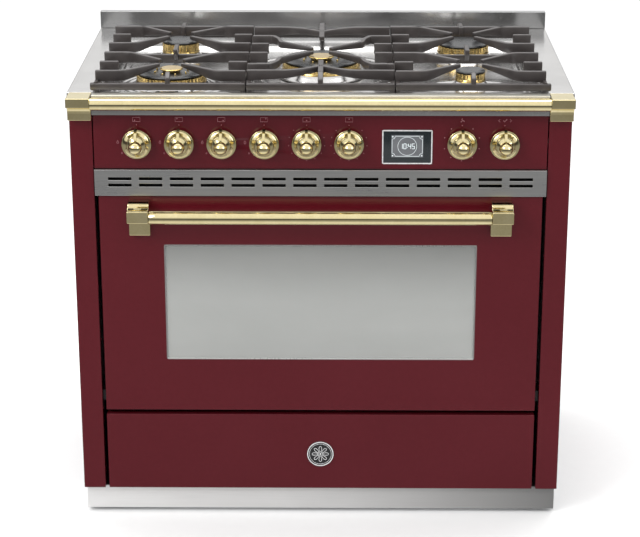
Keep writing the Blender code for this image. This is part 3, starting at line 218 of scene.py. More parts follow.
def piece(name, shapes, material, body, sharp=32, closed=True, stands=()):
    # one mesh object from shapes, shaded smooth between edges sharper than the given angle
    points, quads = joined(shapes)
    mesh = bpy.data.meshes.new(name)
    mesh.vertices.add(len(points))
    mesh.vertices.foreach_set("co", points.astype(np.float32).ravel())
    mesh.loops.add(quads.size)
    mesh.loops.foreach_set("vertex_index", quads.astype(np.int32).ravel())
    mesh.polygons.add(len(quads))
    mesh.polygons.foreach_set("loop_start", np.arange(0, quads.size, 4, dtype=np.int32))
    mesh.update(calc_edges=True)
    return finished(name, mesh, material, body, sharp, closed, stands)


def finished(name, mesh, material, body, sharp, closed, stands):
    work = bmesh.new()
    work.from_mesh(mesh)
    bmesh.ops.remove_doubles(work, verts=work.verts, dist=1e-6)
    bmesh.ops.dissolve_degenerate(work, edges=work.edges, dist=1e-7)
    if closed:
        bmesh.ops.recalc_face_normals(work, faces=work.faces)
    work.to_mesh(mesh)
    work.free()
    mesh.polygons.foreach_set("use_smooth", np.ones(len(mesh.polygons), bool))
    mesh.set_sharp_from_angle(angle=math.radians(sharp))
    mesh.materials.append(material)
    made = bpy.data.objects.new(name, mesh)
    bpy.context.scene.collection.objects.link(made)
    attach(made, body)
    if stands:
        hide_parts(*stands)
    return made


def eased(node, name, material, body, radius, segments=2):
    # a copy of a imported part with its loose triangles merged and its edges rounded
    mesh = nodes[node].data.copy()
    mesh.materials.clear()
    made = finished(name, mesh, material, body, 30, True, (node,))
    work = bmesh.new()
    work.from_mesh(made.data)
    flat = [e for e in work.edges if len(e.link_faces) == 2 and e.calc_face_angle() < 0.002]
    bmesh.ops.dissolve_edges(work, edges=flat, use_verts=False, use_face_split=False)
    loose = [v for v in work.verts if len(v.link_edges) == 2
             and v.calc_edge_angle(0) < 0.002]
    bmesh.ops.dissolve_verts(work, verts=loose)
    work.to_mesh(made.data)
    work.free()
    made.data.polygons.foreach_set("use_smooth", np.ones(len(made.data.polygons), bool))
    bevel = made.modifiers.new("softEdges", "BEVEL")
    bevel.width = radius
    bevel.segments = segments
    bevel.limit_method = "ANGLE"
    bevel.angle_limit = math.radians(30)
    bevel.harden_normals = True
    bevel.use_clamp_overlap = True
    return made


# ---- shared effects ----

def newGroup(name, inputs, outputs):
    group = bpy.data.node_groups.new(name, "ShaderNodeTree")
    for label, kind, value in inputs:
        socket = group.interface.new_socket(name=label, in_out="INPUT", socket_type=kind)
        socket.default_value = value
    for label, kind in outputs:
        group.interface.new_socket(name=label, in_out="OUTPUT", socket_type=kind)
    return group, group.nodes.new("NodeGroupInput"), group.nodes.new("NodeGroupOutput")


def spread(tree, value, low, high, toLow=0.0, toHigh=1.0):
    # stretches the span low..high of a value to toLow..toHigh, clamped
    node = tree.nodes.new("ShaderNodeMapRange")
    node.inputs["From Min"].default_value = low
    node.inputs["From Max"].default_value = high
    node.inputs["To Min"].default_value = toLow
    node.inputs["To Max"].default_value = toHigh
    tree.links.new(value, node.inputs["Value"])
    return node.outputs["Result"]


def stretchedPlace(tree, stretch):
    # the object's own place times a stretch, as counts per metre
    place = tree.nodes.new("ShaderNodeTexCoord").outputs["Object"]
    times = tree.nodes.new("ShaderNodeVectorMath")
    times.operation = "MULTIPLY"
    tree.links.new(place, times.inputs[0])
    tree.links.new(stretch, times.inputs[1])
    return times.outputs["Vector"]


print("making the finishes")

# grain: fine fractal noise stretched along one way, for brushing, casting and orange peel
grain, grainIn, grainOut = newGroup(
    "grain", [("Stretch", "NodeSocketVector", (300, 300, 300))],
    [("Height", "NodeSocketFloat"), ("Mask", "NodeSocketFloat")])
noise = grain.nodes.new("ShaderNodeTexNoise")
noise.inputs["Scale"].default_value = 1.0
noise.inputs["Detail"].default_value = 3.0
grain.links.new(stretchedPlace(grain, grainIn.outputs["Stretch"]), noise.inputs["Vector"])
grain.links.new(noise.outputs["Fac"], grainOut.inputs["Height"])
grain.links.new(spread(grain, noise.outputs["Fac"], 0.35, 0.65), grainOut.inputs["Mask"])

# patches: large soft clouds broken up by a finer cloud, for handling, heat and tarnish
patches, patchesIn, patchesOut = newGroup(
    "patches", [("Stretch", "NodeSocketVector", (9, 9, 9))], [("Mask", "NodeSocketFloat")])
cloud = patches.nodes.new("ShaderNodeTexNoise")
cloud.inputs["Scale"].default_value = 1.0
cloud.inputs["Detail"].default_value = 5.0
cloud.inputs["Distortion"].default_value = 0.6
patches.links.new(stretchedPlace(patches, patchesIn.outputs["Stretch"]), cloud.inputs["Vector"])
patches.links.new(spread(patches, cloud.outputs["Fac"], 0.38, 0.66), patchesOut.inputs["Mask"])

# flecks: cells of random value, for enamel speckle and the crystals of zinc
flecks, flecksIn, flecksOut = newGroup(
    "flecks", [("Stretch", "NodeSocketVector", (300, 300, 300))],
    [("Cell", "NodeSocketFloat"), ("Speck", "NodeSocketFloat")])
cells = flecks.nodes.new("ShaderNodeTexVoronoi")
cells.inputs["Scale"].default_value = 1.0
flecks.links.new(stretchedPlace(flecks, flecksIn.outputs["Stretch"]), cells.inputs["Vector"])
split = flecks.nodes.new("ShaderNodeSeparateColor")
flecks.links.new(cells.outputs["Color"], split.inputs["Color"])
flecks.links.new(split.outputs["Red"], flecksOut.inputs["Cell"])
chosen = flecks.nodes.new("ShaderNodeMath")
chosen.operation = "MULTIPLY"
flecks.links.new(spread(flecks, split.outputs["Green"], 0.72, 0.76), chosen.inputs[0])
flecks.links.new(spread(flecks, cells.outputs["Distance"], 0.34, 0.26), chosen.inputs[1])
flecks.links.new(chosen.outputs["Value"], flecksOut.inputs["Speck"])


def placed(tree, group, stretch):
    node = tree.nodes.new("ShaderNodeGroup")
    node.node_tree = group
    node.inputs["Stretch"].default_value = stretch
    return node


def surface(name, colours, rough, metallic=0.0, patch=(9, 9, 9), fine=(300, 300, 300),
            bump=(0.2, 0.00003), speck=None, speckSize=300, cell=None, **fixed):
    # two colours mixed by patches and grain, roughness between two values, a fine bump,
    # and if asked for, specks or cells of a third colour
    material = bpy.data.materials.new(name)
    material.use_nodes = True
    tree = material.node_tree
    shader = tree.nodes["Principled BSDF"]
    shader.inputs["Metallic"].default_value = metallic
    for label, value in fixed.items():
        shader.inputs[label.replace("_", " ")].default_value = value
    patchNode, grainNode = placed(tree, patches, patch), placed(tree, grain, fine)
    both = tree.nodes.new("ShaderNodeMath")
    both.operation = "MULTIPLY_ADD"
    both.inputs[1].default_value = 0.6
    tree.links.new(patchNode.outputs["Mask"], both.inputs[0])
    tree.links.new(spread(tree, grainNode.outputs["Mask"], 0, 1, 0, 0.4), both.inputs[2])
    mix = tree.nodes.new("ShaderNodeMix")
    mix.data_type = "RGBA"
    mix.inputs["A"].default_value = (*colours[0], 1)
    mix.inputs["B"].default_value = (*colours[1], 1)
    tree.links.new(both.outputs["Value"], mix.inputs["Factor"])
    colour = mix.outputs["Result"]
    if speck or cell:
        fleckNode = placed(tree, flecks, (speckSize, speckSize, speckSize))
        over = tree.nodes.new("ShaderNodeMix")
        over.data_type = "RGBA"
        over.inputs["B"].default_value = (*(speck or cell), 1)
        tree.links.new(fleckNode.outputs["Speck" if speck else "Cell"], over.inputs["Factor"])
        tree.links.new(colour, over.inputs["A"])
        colour = over.outputs["Result"]
    tree.links.new(colour, shader.inputs["Base Color"])
    tree.links.new(spread(tree, both.outputs["Value"], 0, 1, *rough), shader.inputs["Roughness"])
    dent = tree.nodes.new("ShaderNodeBump")
    dent.inputs["Strength"].default_value = bump[0]
    dent.inputs["Distance"].default_value = bump[1]
    tree.links.new(grainNode.outputs["Height"], dent.inputs["Height"])
    tree.links.new(dent.outputs["Normal"], shader.inputs["Normal"])
    return material


def paintedShade(material, axis, stops):
    # painted shade: the base colour times a grey that changes along one of the object's own axes, darkening
    # one side or end as if it were less lit
    tree = material.node_tree
    shader = tree.nodes["Principled BSDF"]
    place = tree.nodes.new("ShaderNodeTexCoord")
    split = tree.nodes.new("ShaderNodeSeparateXYZ")
    tree.links.new(place.outputs["Object"], split.inputs["Vector"])
    first, last = stops[0][0], stops[-1][0]
    ramp = tree.nodes.new("ShaderNodeValToRGB")
    while len(ramp.color_ramp.elements) < len(stops):
        ramp.color_ramp.elements.new(0.5)
    for element, (at, grey) in zip(ramp.color_ramp.elements, stops):
        element.position = (at - first) / (last - first)
        element.color = (grey, grey, grey, 1)
    tree.links.new(spread(tree, split.outputs[axis], first, last, 0, 1), ramp.inputs["Fac"])
    times = tree.nodes.new("ShaderNodeMix")
    times.data_type = "RGBA"
    times.blend_type = "MULTIPLY"
    times.inputs["Factor"].default_value = 1.0
    tree.links.new(shader.inputs["Base Color"].links[0].from_socket, times.inputs["A"])
    tree.links.new(ramp.outputs["Color"], times.inputs["B"])
    tree.links.new(times.outputs["Result"], shader.inputs["Base Color"])
    return material


enamelRed = surface("wineEnamel", ((0.072, 0.0040, 0.0080), (0.082, 0.0052, 0.0100)), (0.14, 0.19),
                    patch=(3, 3, 3), fine=(140, 140, 140), bump=(0.08, 0.00004),
                    Coat_Weight=0.10, Coat_Roughness=0.05, Specular_IOR_Level=0.38)
deckSteel = surface("deckSteel", ((0.58, 0.57, 0.56), (0.68, 0.67, 0.66)), (0.17, 0.24), 1.0,
                    patch=(14, 14, 14), fine=(35, 1400, 1400), bump=(0.10, 0.00002))
mirrorSteel = surface("mirrorSteel", ((0.34, 0.34, 0.34), (0.40, 0.40, 0.40)), (0.14, 0.20), 0.90,
                      patch=(5, 5, 5), fine=(20, 900, 900), bump=(0.02, 0.00001))
satinLip = surface("satinLip", ((0.70, 0.68, 0.61), (0.80, 0.78, 0.71)), (0.36, 0.44), 1.0,
                   patch=(6, 40, 40), fine=(16, 1200, 1200), bump=(0.10, 0.00002))
plinthSteel = surface("plinthSteel", ((0.92, 0.91, 0.90), (1.0, 0.99, 0.98)), (0.42, 0.50), 0.60,
                      patch=(3, 9, 9), fine=(14, 1100, 1100), bump=(0.15, 0.00003))
# painted shade: the plinth's colour is bright at its left end and darkened towards its right, as if lit from
# the left
paintedShade(plinthSteel, "X", ((-0.45, 1.0), (-0.10, 0.86), (0.15, 0.62), (0.45, 0.24)))
brushedSteel = surface("brushedSteel", ((0.56, 0.56, 0.555), (0.68, 0.68, 0.67)), (0.26, 0.34),
                       1.0, patch=(3, 9, 9), fine=(14, 1300, 1300), bump=(0.22, 0.00003))
paleSteel = surface("paleSteel", ((0.62, 0.62, 0.61), (0.72, 0.72, 0.71)), (0.26, 0.34), 1.0,
                    patch=(6, 3, 3), fine=(1300, 20, 20), bump=(0.15, 0.00002))
brass = surface("polishedBrass", ((0.70, 0.60, 0.33), (0.78, 0.68, 0.40)), (0.06, 0.10), 1.0,
                patch=(30, 30, 30), fine=(260, 260, 260), bump=(0.015, 0.00001))
burnerBrass = surface("burnerBrass", ((0.46, 0.32, 0.11), (0.66, 0.50, 0.22)), (0.16, 0.24), 1.0,
                      patch=(60, 60, 60), fine=(700, 700, 100), bump=(0.06, 0.00002))
castIron = surface("castIron", ((0.030, 0.025, 0.024), (0.050, 0.042, 0.040)), (0.30, 0.42),
                   patch=(30, 30, 30), fine=(900, 900, 900), bump=(0.35, 0.00006),
                   Specular_IOR_Level=0.6)
blackEnamel = surface("blackEnamel", ((0.010, 0.011, 0.012), (0.016, 0.017, 0.018)), (0.24, 0.34),
                      patch=(50, 50, 50), fine=(1200, 1200, 1200), bump=(0.20, 0.00003))
cavityEnamel = surface("speckledEnamel", ((0.030, 0.031, 0.034), (0.042, 0.043, 0.046)),
                       (0.22, 0.32), fine=(500, 500, 500), speck=(0.30, 0.31, 0.33), speckSize=420)
zinc = surface("galvanisedSteel", ((0.42, 0.43, 0.44), (0.50, 0.51, 0.52)), (0.32, 0.46), 1.0,
               fine=(240, 240, 240), cell=(0.66, 0.67, 0.69), speckSize=85, bump=(0.12, 0.00003))
chrome = surface("chromedWire", ((0.55, 0.55, 0.56), (0.68, 0.68, 0.69)), (0.08, 0.14), 1.0,
                 patch=(30, 30, 30), fine=(700, 700, 700))
blackPlastic = surface("blackPlastic", ((0.014, 0.014, 0.015), (0.020, 0.020, 0.021)),
                       (0.42, 0.55), fine=(1500, 1500, 1500), bump=(0.3, 0.00005))
rubber = surface("gasketRubber", ((0.016, 0.015, 0.015), (0.024, 0.023, 0.022)), (0.62, 0.75),
                 fine=(1500, 1500, 1500), bump=(0.4, 0.00008))
clockGlass = surface("clockGlass", ((0.012, 0.016, 0.018), (0.018, 0.023, 0.026)), (0.04, 0.07),
                     patch=(12, 12, 12), bump=(0.0, 0.00001), Coat_Weight=1.0, Coat_Roughness=0.03)
screenGrey = surface("screenGrey", ((0.110, 0.115, 0.125), (0.150, 0.155, 0.165)), (0.20, 0.26),
                     patch=(25, 25, 25), fine=(900, 900, 900), bump=(0.0, 0.00001))
screenInk = surface("screenInk", ((0.55, 0.60, 0.62), (0.66, 0.71, 0.72)), (0.35, 0.45),
                    bump=(0.0, 0.00001), Emission_Strength=0.25,
                    Emission_Color=(0.75, 0.85, 0.88, 1))
panelInk = surface("panelInk", ((0.30, 0.10, 0.12), (0.38, 0.15, 0.17)), (0.35, 0.45),
                   bump=(0.1, 0.00001))
badgeBlack = surface("badgeBlack", ((0.010, 0.010, 0.011), (0.016, 0.016, 0.017)), (0.12, 0.18),
                     patch=(60, 60, 60), fine=(900, 900, 900), Coat_Weight=0.6)
badgeSilver = surface("badgeSilver", ((0.80, 0.80, 0.81), (0.90, 0.90, 0.91)), (0.24, 0.32), 0.35,
                      patch=(60, 60, 60), fine=(900, 900, 900))
ceramic = surface("whiteCeramic", ((0.62, 0.60, 0.56), (0.74, 0.72, 0.68)), (0.20, 0.30),
                  patch=(90, 90, 90), fine=(1200, 1200, 1200))
lampGlass = surface("lampGlass", ((0.70, 0.66, 0.56), (0.80, 0.77, 0.68)), (0.12, 0.20),
                    patch=(70, 70, 70), fine=(500, 500, 500), Transmission_Weight=0.4)
windowGlass = surface("windowGlass", ((0.60, 0.61, 0.59), (0.70, 0.71, 0.69)), (0.04, 0.07), 0.22,
                      patch=(1.5, 1.5, 4.0), fine=(3, 3, 3), bump=(0.0, 0.00001),
                      Transmission_Weight=0.45, IOR=1.45)
# painted shade: the pane's colour is darkened towards its top
paintedShade(windowGlass, "Z", ((0.30, 1.0), (0.43, 0.93), (0.52, 0.72), (0.556, 0.56)))
innerGlass = surface("innerGlass", ((0.80, 0.82, 0.81), (0.84, 0.86, 0.85)), (0.02, 0.04),
                     patch=(2, 2, 2), fine=(3, 3, 3), bump=(0.0, 0.00001),
                     Transmission_Weight=1.0, IOR=1.45)

finishOf = {
    "enamel": enamelRed, "steel": brushedSteel, "brass": brass, "cast_iron": castIron,
    "black_enamel": blackEnamel, "cavity_enamel": cavityEnamel, "glass": innerGlass,
    "dark_glass": badgeBlack, "galvanised": zinc, "chrome": chrome, "black_plastic": blackPlastic,
}
for node in nodes.values():
    for slot in node.material_slots:
        slot.material = finishOf[slot.material.name.split(".")[0]]
for name in ("hinge_left", "hinge_right"):
    nodes[name].material_slots[0].material = blackEnamel


# ---- hob ----

print("pressing the hob")
hob = {"basinHalf": 0.404, "basinFront": 0.012, "basinBack": 0.425, "basinDepth": 0.010,
       "wall": 0.009, "corner": 0.016, "coneRise": 0.0055, "ribX": (0.3665, 0.3755),
       "ribRise": 0.0022, "ribWidth": 0.0019, "dishSteps": (0.116, 0.140), "dishRise": 0.0022,
       "fine": 0.0026}
burnerNames = ("front_left", "rear_left", "centre", "rear_right", "front_right")
burnerAt = {n: middle("burner_cap_" + n) for n in burnerNames}
burnerRadius = {n: (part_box("burner_" + n)[1].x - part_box("burner_" + n)[0].x) / 2
                for n in burnerNames}


def smoothStep(t):
    t = np.clip(t, 0, 1)
    return t * t * (3 - 2 * t)


def hobHeight(x, y):
    # a flat sheet less a rounded basin, plus what is pressed into the basin's floor
    front, back = faceY + hob["basinFront"], faceY + hob["basinBack"]
    ax = np.abs(x) - hob["basinHalf"] + hob["corner"]
    ay = np.abs(y - (front + back) / 2) - (back - front) / 2 + hob["corner"]
    edge = (np.hypot(np.maximum(ax, 0), np.maximum(ay, 0)) + np.minimum(np.maximum(ax, ay), 0)
            - hob["corner"])
    inside = smoothStep(-edge / hob["wall"])
    z = -hob["basinDepth"] * inside
    for ribX in hob["ribX"]:        # two ribs beside each side wall, dying out at both ends
        fade = smoothStep((y - front - 0.03) / 0.02) * smoothStep((back - 0.03 - y) / 0.02)
        z = z + hob["ribRise"] * fade * np.exp(-((np.abs(x) - ribX) / hob["ribWidth"]) ** 2)
    for name in ("rear_left", "rear_right", "front_right"):
        # a tent whose foot reaches furthest towards four corners: (1 - r / reach(angle)) ^ 1.7
        dx, dy = (x - burnerAt[name].x), (y - burnerAt[name].y) * 1.55
        r, angle = np.hypot(dx, dy), np.arctan2(dy, dx)
        reach = burnerRadius[name] + 0.020 + 0.036 * np.abs(np.sin(2 * angle)) ** 5
        z = z + hob["coneRise"] * np.clip(1 - r / reach, 0, 1) ** 1.2 * 2.0
    r = np.hypot(x - burnerAt["front_left"].x, y - burnerAt["front_left"].y)
    ripple = smoothStep((r - 0.064) / 0.006) * smoothStep((0.104 - r) / 0.006)
    z = z + 0.0011 * ripple * (1 + np.cos(2 * math.pi * (r - 0.070) / 0.0115))
    r = np.hypot(x - burnerAt["centre"].x, y - burnerAt["centre"].y)
    for step in hob["dishSteps"]:   # two round steps about the middle burner
        z = z - hob["dishRise"] * inside * (1 - smoothStep((r - step) / 0.007))
    return np.maximum(z, -0.0150)


def spaced(stops, counts):
    # stations between the stops, evenly split
    spans = [np.linspace(a, b, n, endpoint=False) for a, b, n in zip(stops, stops[1:], counts)]
    return np.concatenate(spans + [np.array(stops[-1:])])


low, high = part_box("hob_top")
basinX, basinFront, basinBack = hob["basinHalf"], faceY + hob["basinFront"], faceY + hob["basinBack"]
fineX = int(2 * basinX / hob["fine"])
fineY = int((basinBack - basinFront) / hob["fine"])
across = spaced([low.x + 0.002, -0.4052, -0.4042, -basinX, basinX, 0.4042, 0.4052, high.x - 0.002],
                [5, 1, 1, fineX, 1, 1, 5])
along = spaced([low.y + 0.002, basinFront - 0.002, basinBack + 0.002, high.y - 0.002],
               [6, fineY, 7])
gridX, gridY = np.meshgrid(across, along, indexing="ij")
# the flat strips stop behind the corner blocks
blockX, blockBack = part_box("corner_block_right")[0].x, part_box("corner_block_right")[1].y + 0.0006
share = np.clip((basinFront - 0.002 - gridY) / (basinFront - 0.002 - along[0]), 0, 1)
behind = basinFront - 0.002 - share * (basinFront - 0.002 - blockBack)
gridY = np.where((np.abs(gridX) > blockX - 0.0006) & (share > 0), behind, gridY)
gridZ = hobZ + hobHeight(gridX, gridY)
top = np.stack([gridX, gridY, gridZ], -1)


def hemmed(points):
    # the sheet's four edges rolled over a 2 mm curve and carried down as skirts
    turn = np.linspace(0, math.pi / 2, 5)[1:]
    for axis, sign, drop in ((0, -1, 0.045), (0, 1, 0.045), (1, -1, 0.036), (1, 1, 0.045)):
        edge = np.take(points, 0 if sign < 0 else -1, axis)
        rows = []
        for angle in turn:
            row = edge.copy()
            row[:, axis] += sign * 0.002 * math.sin(angle)
            row[:, 2] = np.minimum(row[:, 2], hobZ - 0.002 * (1 - math.cos(angle)))
            rows.append(row)
        foot = rows[-1].copy()
        foot[:, 2] = hobZ - drop + 0.0005
        rows.append(foot)
        rows = np.stack(rows)
        if axis == 0:
            points = (np.concatenate([rows[::-1], points]) if sign < 0
                      else np.concatenate([points, rows]))
        else:
            rows = rows.transpose(1, 0, 2)
            points = np.concatenate([rows[:, ::-1], points] if sign < 0 else [points, rows], axis=1)
    return points


piece("hob_deck", [sheet(hemmed(top))], deckSteel, "range", 40, False, ("hob_top",))

print("turning the burners")
burner = {"slotDepth": 0.028, "cupDrop": 0.006}


def burnerShapes(name):
    # a brass crown: slots round its rim are a narrow power of a cosine
    radius = burnerRadius[name]
    low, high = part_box("burner_" + name)
    slots = int(radius * 2 * math.pi / 0.0085)
    top = high.z - hobZ
    foot = top - (0.0135 if name != "rear_left" else 0.0175)

    def slotted(angle, height):
        band = smoothStep((height - foot - 0.004) / 0.001) * smoothStep((top - 0.0010 - height) / 0.001)
        return 1 - burner["slotDepth"] * band * np.abs(np.cos(angle * slots / 2)) ** 26

    crown = softened([(0, foot - 0.004), (radius - 0.006, foot - 0.004), (radius - 0.001, foot - 0.003),
                      (radius, foot), (radius - 0.0012, foot + 0.0030), (radius - 0.0012, foot + 0.004)],
                     0.0006, 3)
    rise = np.linspace(foot + 0.0045, top - 0.0006, 7)
    crown = np.concatenate([crown, np.stack([np.full(7, radius - 0.0012), rise], 1),
                            [(radius - 0.003, top), (0, top)]])
    return lathe(crown, slots * 10, slotted)


for name in burnerNames:
    at, radius = burnerAt[name], burnerRadius[name]
    crown = moved(burnerShapes(name), at.x, at.y, hobZ)
    piece("crown_" + name, [crown], burnerBrass, "range", 30, True, ("burner_" + name,))
    # the collar that the crown stands on, flared down to the hob's floor
    skirt = softened([(0, -0.0135), (radius + 0.010, -0.0135), (radius + 0.009, -0.0105),
                      (radius + 0.001, -0.0030), (radius - 0.004, 0.0040), (0, 0.0040)], 0.003, 4)
    piece("collar_" + name, [moved(lathe(skirt, 72), at.x, at.y, hobZ)], deckSteel, "range")
    # the spark pin in its white sleeve, and the flame probe beside it
    pins = []
    for angle, reach, pinRadius, rise in ((2.05, 0.0052, 0.0026, 0.0055), (1.20, 0.0050, 0.0015, 0.0090)):
        pin = lathe(softened([(0, -0.008), (pinRadius, -0.008), (pinRadius, rise), (0, rise)],
                             0.0008, 3), 16)
        pins.append(moved(pin, at.x + math.cos(angle) * (radius + reach),
                          at.y + math.sin(angle) * (radius + reach), hobZ))
    piece("spark_plug_" + name, pins[:1], ceramic, "range")
    piece("flame_probe_" + name, pins[1:], chrome, "range")

print("seating the burner caps")
for name in burnerNames:
    low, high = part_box("burner_cap_" + name)
    at, radius = burnerAt[name], (high.x - low.x) / 2
    foot, dual = low.z - hobZ, name in ("front_left", "centre")
    rim = foot + 0.0040
    if dual:
        # a wide ring that dips towards the middle, with a brass cap standing in the dip
        inner = 0.024 if name == "centre" else 0.021
        profile = [(0, foot), (radius - 0.002, foot), (radius, foot + 0.001), (radius, rim - 0.0012),
                   (radius - 0.0035, rim), (radius * 0.62, rim - 0.0012), (inner + 0.006, rim - 0.0030),
                   (0, rim - 0.0030)]
        brassProfile = [(0, rim - 0.0028), (inner - 0.005, rim - 0.0028), (inner - 0.004, rim + 0.0015),
                        (inner, rim + 0.0022), (inner, rim + 0.0040), (inner - 0.0025, high.z - hobZ),
                        (0, high.z - hobZ)]
        piece("brass_cap_" + name, [moved(lathe(softened(brassProfile, 0.001, 4), 64), at.x, at.y, hobZ)],
              burnerBrass, "cap_" + name)
        angles = np.arange(8) * math.pi / 4 + 0.3
        knobs = [moved(lathe(softened([(0, rim - 0.004), (0.0018, rim - 0.004), (0.0018, rim + 0.0005),
                                       (0, rim + 0.0010)], 0.0006, 2), 12),
                       at.x + math.cos(a) * (inner + 0.0095), at.y + math.sin(a) * (inner + 0.0095), hobZ)
                 for a in angles]
        piece("cap_pins_" + name, knobs, burnerBrass, "cap_" + name)
    else:
        top = high.z - hobZ
        profile = [(0, foot), (radius - 0.002, foot), (radius, foot + 0.001), (radius, top - 0.0014),
                   (radius - 0.003, top - 0.0003), (radius - 0.010, top), (0, top)]
    piece("cap_" + name, [moved(lathe(softened(profile, 0.0014, 4), 96), at.x, at.y, hobZ)],
          blackEnamel, "cap_" + name, 30, True, ("burner_cap_" + name,))

print("casting the grates")
grate = {"bar": 0.0080, "top": 0.0350, "low": 0.0150, "tipDeep": 0.0060, "round": 0.0016,
         "fingers": 0.0755, "straight": 0.044, "tipX": 0.021, "tipY": 0.016,
         "stub": 0.034, "split": 0.1330, "outer": 0.4090}


def blade(points, tops, lows, width=None, cut=0.010, taper=1.0):
    # an upright blade along a plan line, its upper and lower edges given at each corner
    width = width or grate["bar"]
    corners = np.array([(x, y, top, bottom) for (x, y), top, bottom in zip(points, tops, lows)], float)
    line = softened(corners, cut, 5)
    ends = 3
    angle = np.linspace(0, math.pi / 2, ends + 1)
    r = grate["round"]
    first, last = line[1] - line[0], line[-2] - line[-1]
    first, last = first / np.linalg.norm(first[:2]), last / np.linalg.norm(last[:2])
    run = r * (1 - np.cos(angle))[:, None]
    line = np.concatenate([line[:1] + first * run, line[1:-1], (line[-1:] + last * run)[::-1]])
    inset = np.zeros(len(line))
    inset[:ends + 1] = r * (1 - np.sin(angle))
    inset[-ends - 1:] = inset[:ends + 1][::-1]
    height = line[:, 2] - line[:, 3]
    full = height.max()
    narrow = np.linspace(1, taper, len(line))
    scale = np.stack([narrow * (1 - 2 * inset / width), (height - 2 * inset) / full], 1)
    path = np.stack([line[:, 0], line[:, 1], hobZ + (line[:, 2] + line[:, 3]) / 2], 1)
    # the path is kept level for its frame, and the heights are put back afterwards
    flat = path.copy()
    flat[:, 2] = 0
    points, quads = sweep(flat, roundedOutline(width, full, r, 3), (0, 0, 1), scale)
    count = 16
    rise = np.concatenate([[path[0, 2]], path[:, 2], [path[-1, 2]]]).repeat(count)
    points[:, 2] += rise
    return points, quads


def sideGrate(side):
    # side is -1 on the left and 1 on the right
    b, top, low = grate["bar"], grate["top"], grate["low"]
    inner, outer = grate["split"] + 0.0003, grate["outer"]
    front, rear = burnerAt["front_right"], burnerAt["rear_right"]
    middleX = front.x
    shapes = []

    def add(points, tops, lows, **more):
        flip = [(x * side, y) for x, y in points]
        shapes.append(blade(flip, tops, lows, **more))

    frontY, backY = faceY + 0.005 + b / 2, faceY + 0.405 - b / 2
    midY = (front.y + rear.y) / 2
    innerX, outerX = inner + b / 2, outer - 0.0085 - b / 2
    # frame: front bar low, sides stepped, rear bar full height
    shapes.append(rod((inner * side, frontY, hobZ + 0.0105), ((outer - 0.001) * side, frontY, hobZ + 0.0105),
                      0.0085, 0.013, 0.0022))
    add([(inner, backY), (outer - 0.005, backY)], [top, top], [0.0125, 0.0125])
    add([(inner, midY), (outer - 0.008, midY)], [0.0215, 0.0215], [0.0050, 0.0050])
    for x in (innerX, outerX):
        add([(x, frontY - b / 2), (x, frontY + 0.02), (x, backY)], [0.0165] * 3, [0.0045] * 3)
    # the outer side flares out to its foot
    flare = np.array([(-0.003, 0.0075), (0.003, 0.0075), (0.0085, -0.0075), (0.0030, -0.0085)])
    flare = flare * (side, 1) if side > 0 else flare[::-1] * (-1, 1)
    shapes.append(sweep([((outerX + 0.0010) * side, frontY - 0.003, hobZ + 0.0115),
                         ((outerX + 0.0010) * side, (frontY + backY) / 2, hobZ + 0.0115),
                         ((outerX + 0.0010) * side, backY, hobZ + 0.0115)], flare * (1, 1)))
    for at in (front, rear):
        for dy in (-1, 1):
            fingerY, tipY = at.y + dy * grate["fingers"], at.y + dy * grate["tipY"]
            if at is front and dy < 0:
                fingerY += 0.004
            for start, way in ((inner, 1), (outer - 0.0085, -1)):
                straight = start + way * grate["straight"] * (1.0 if way > 0 else 0.92)
                bend = middleX - way * (grate["tipX"] + 0.070)
                tip = middleX - way * grate["tipX"]
                bend = straight + way * 0.008
                add([(start, fingerY), (bend, fingerY), (tip, tipY)],
                    [top, top, top], [low, low, top - grate["tipDeep"]], cut=0.014)
        for start, way in ((inner, 1), (outer - 0.0085, -1)):
            add([(start, at.y), (start + way * grate["stub"], at.y)], [top, top], [low, low])
    # the stub between the two burners' fingers, and the fingers along the depth
    add([(middleX, frontY - b / 2), (middleX, frontY + 0.012)], [0.0260, top], [0.0045, 0.0160],
        width=0.0085)
    add([(middleX, midY - 0.022), (middleX, midY), (middleX, midY + 0.024)],
        [top, top, top], [0.0255, 0.0060, 0.0255], cut=0.003)
    add([(middleX, faceY + 0.393), (middleX, faceY + 0.405), (middleX, faceY + 0.444)],
        [top, top, top - 0.002], [0.0160, 0.0050, 0.0020], cut=0.003)
    # feet down to the basin's floor
    for x in (innerX, outerX):
        for y in (frontY + 0.006, midY, backY - 0.006):
            shapes.append(moved(lathe(softened([(0, -0.0095), (0.0042, -0.0095), (0.0050, 0.0060),
                                                (0, 0.0060)], 0.001, 2), 20), x * side, y, hobZ))
    return shapes


for side, name in ((-1, "left"), (1, "right")):
    piece("cast_grate_" + name, sideGrate(side), castIron, "grate_" + name, 32, True, ("grate_" + name,))


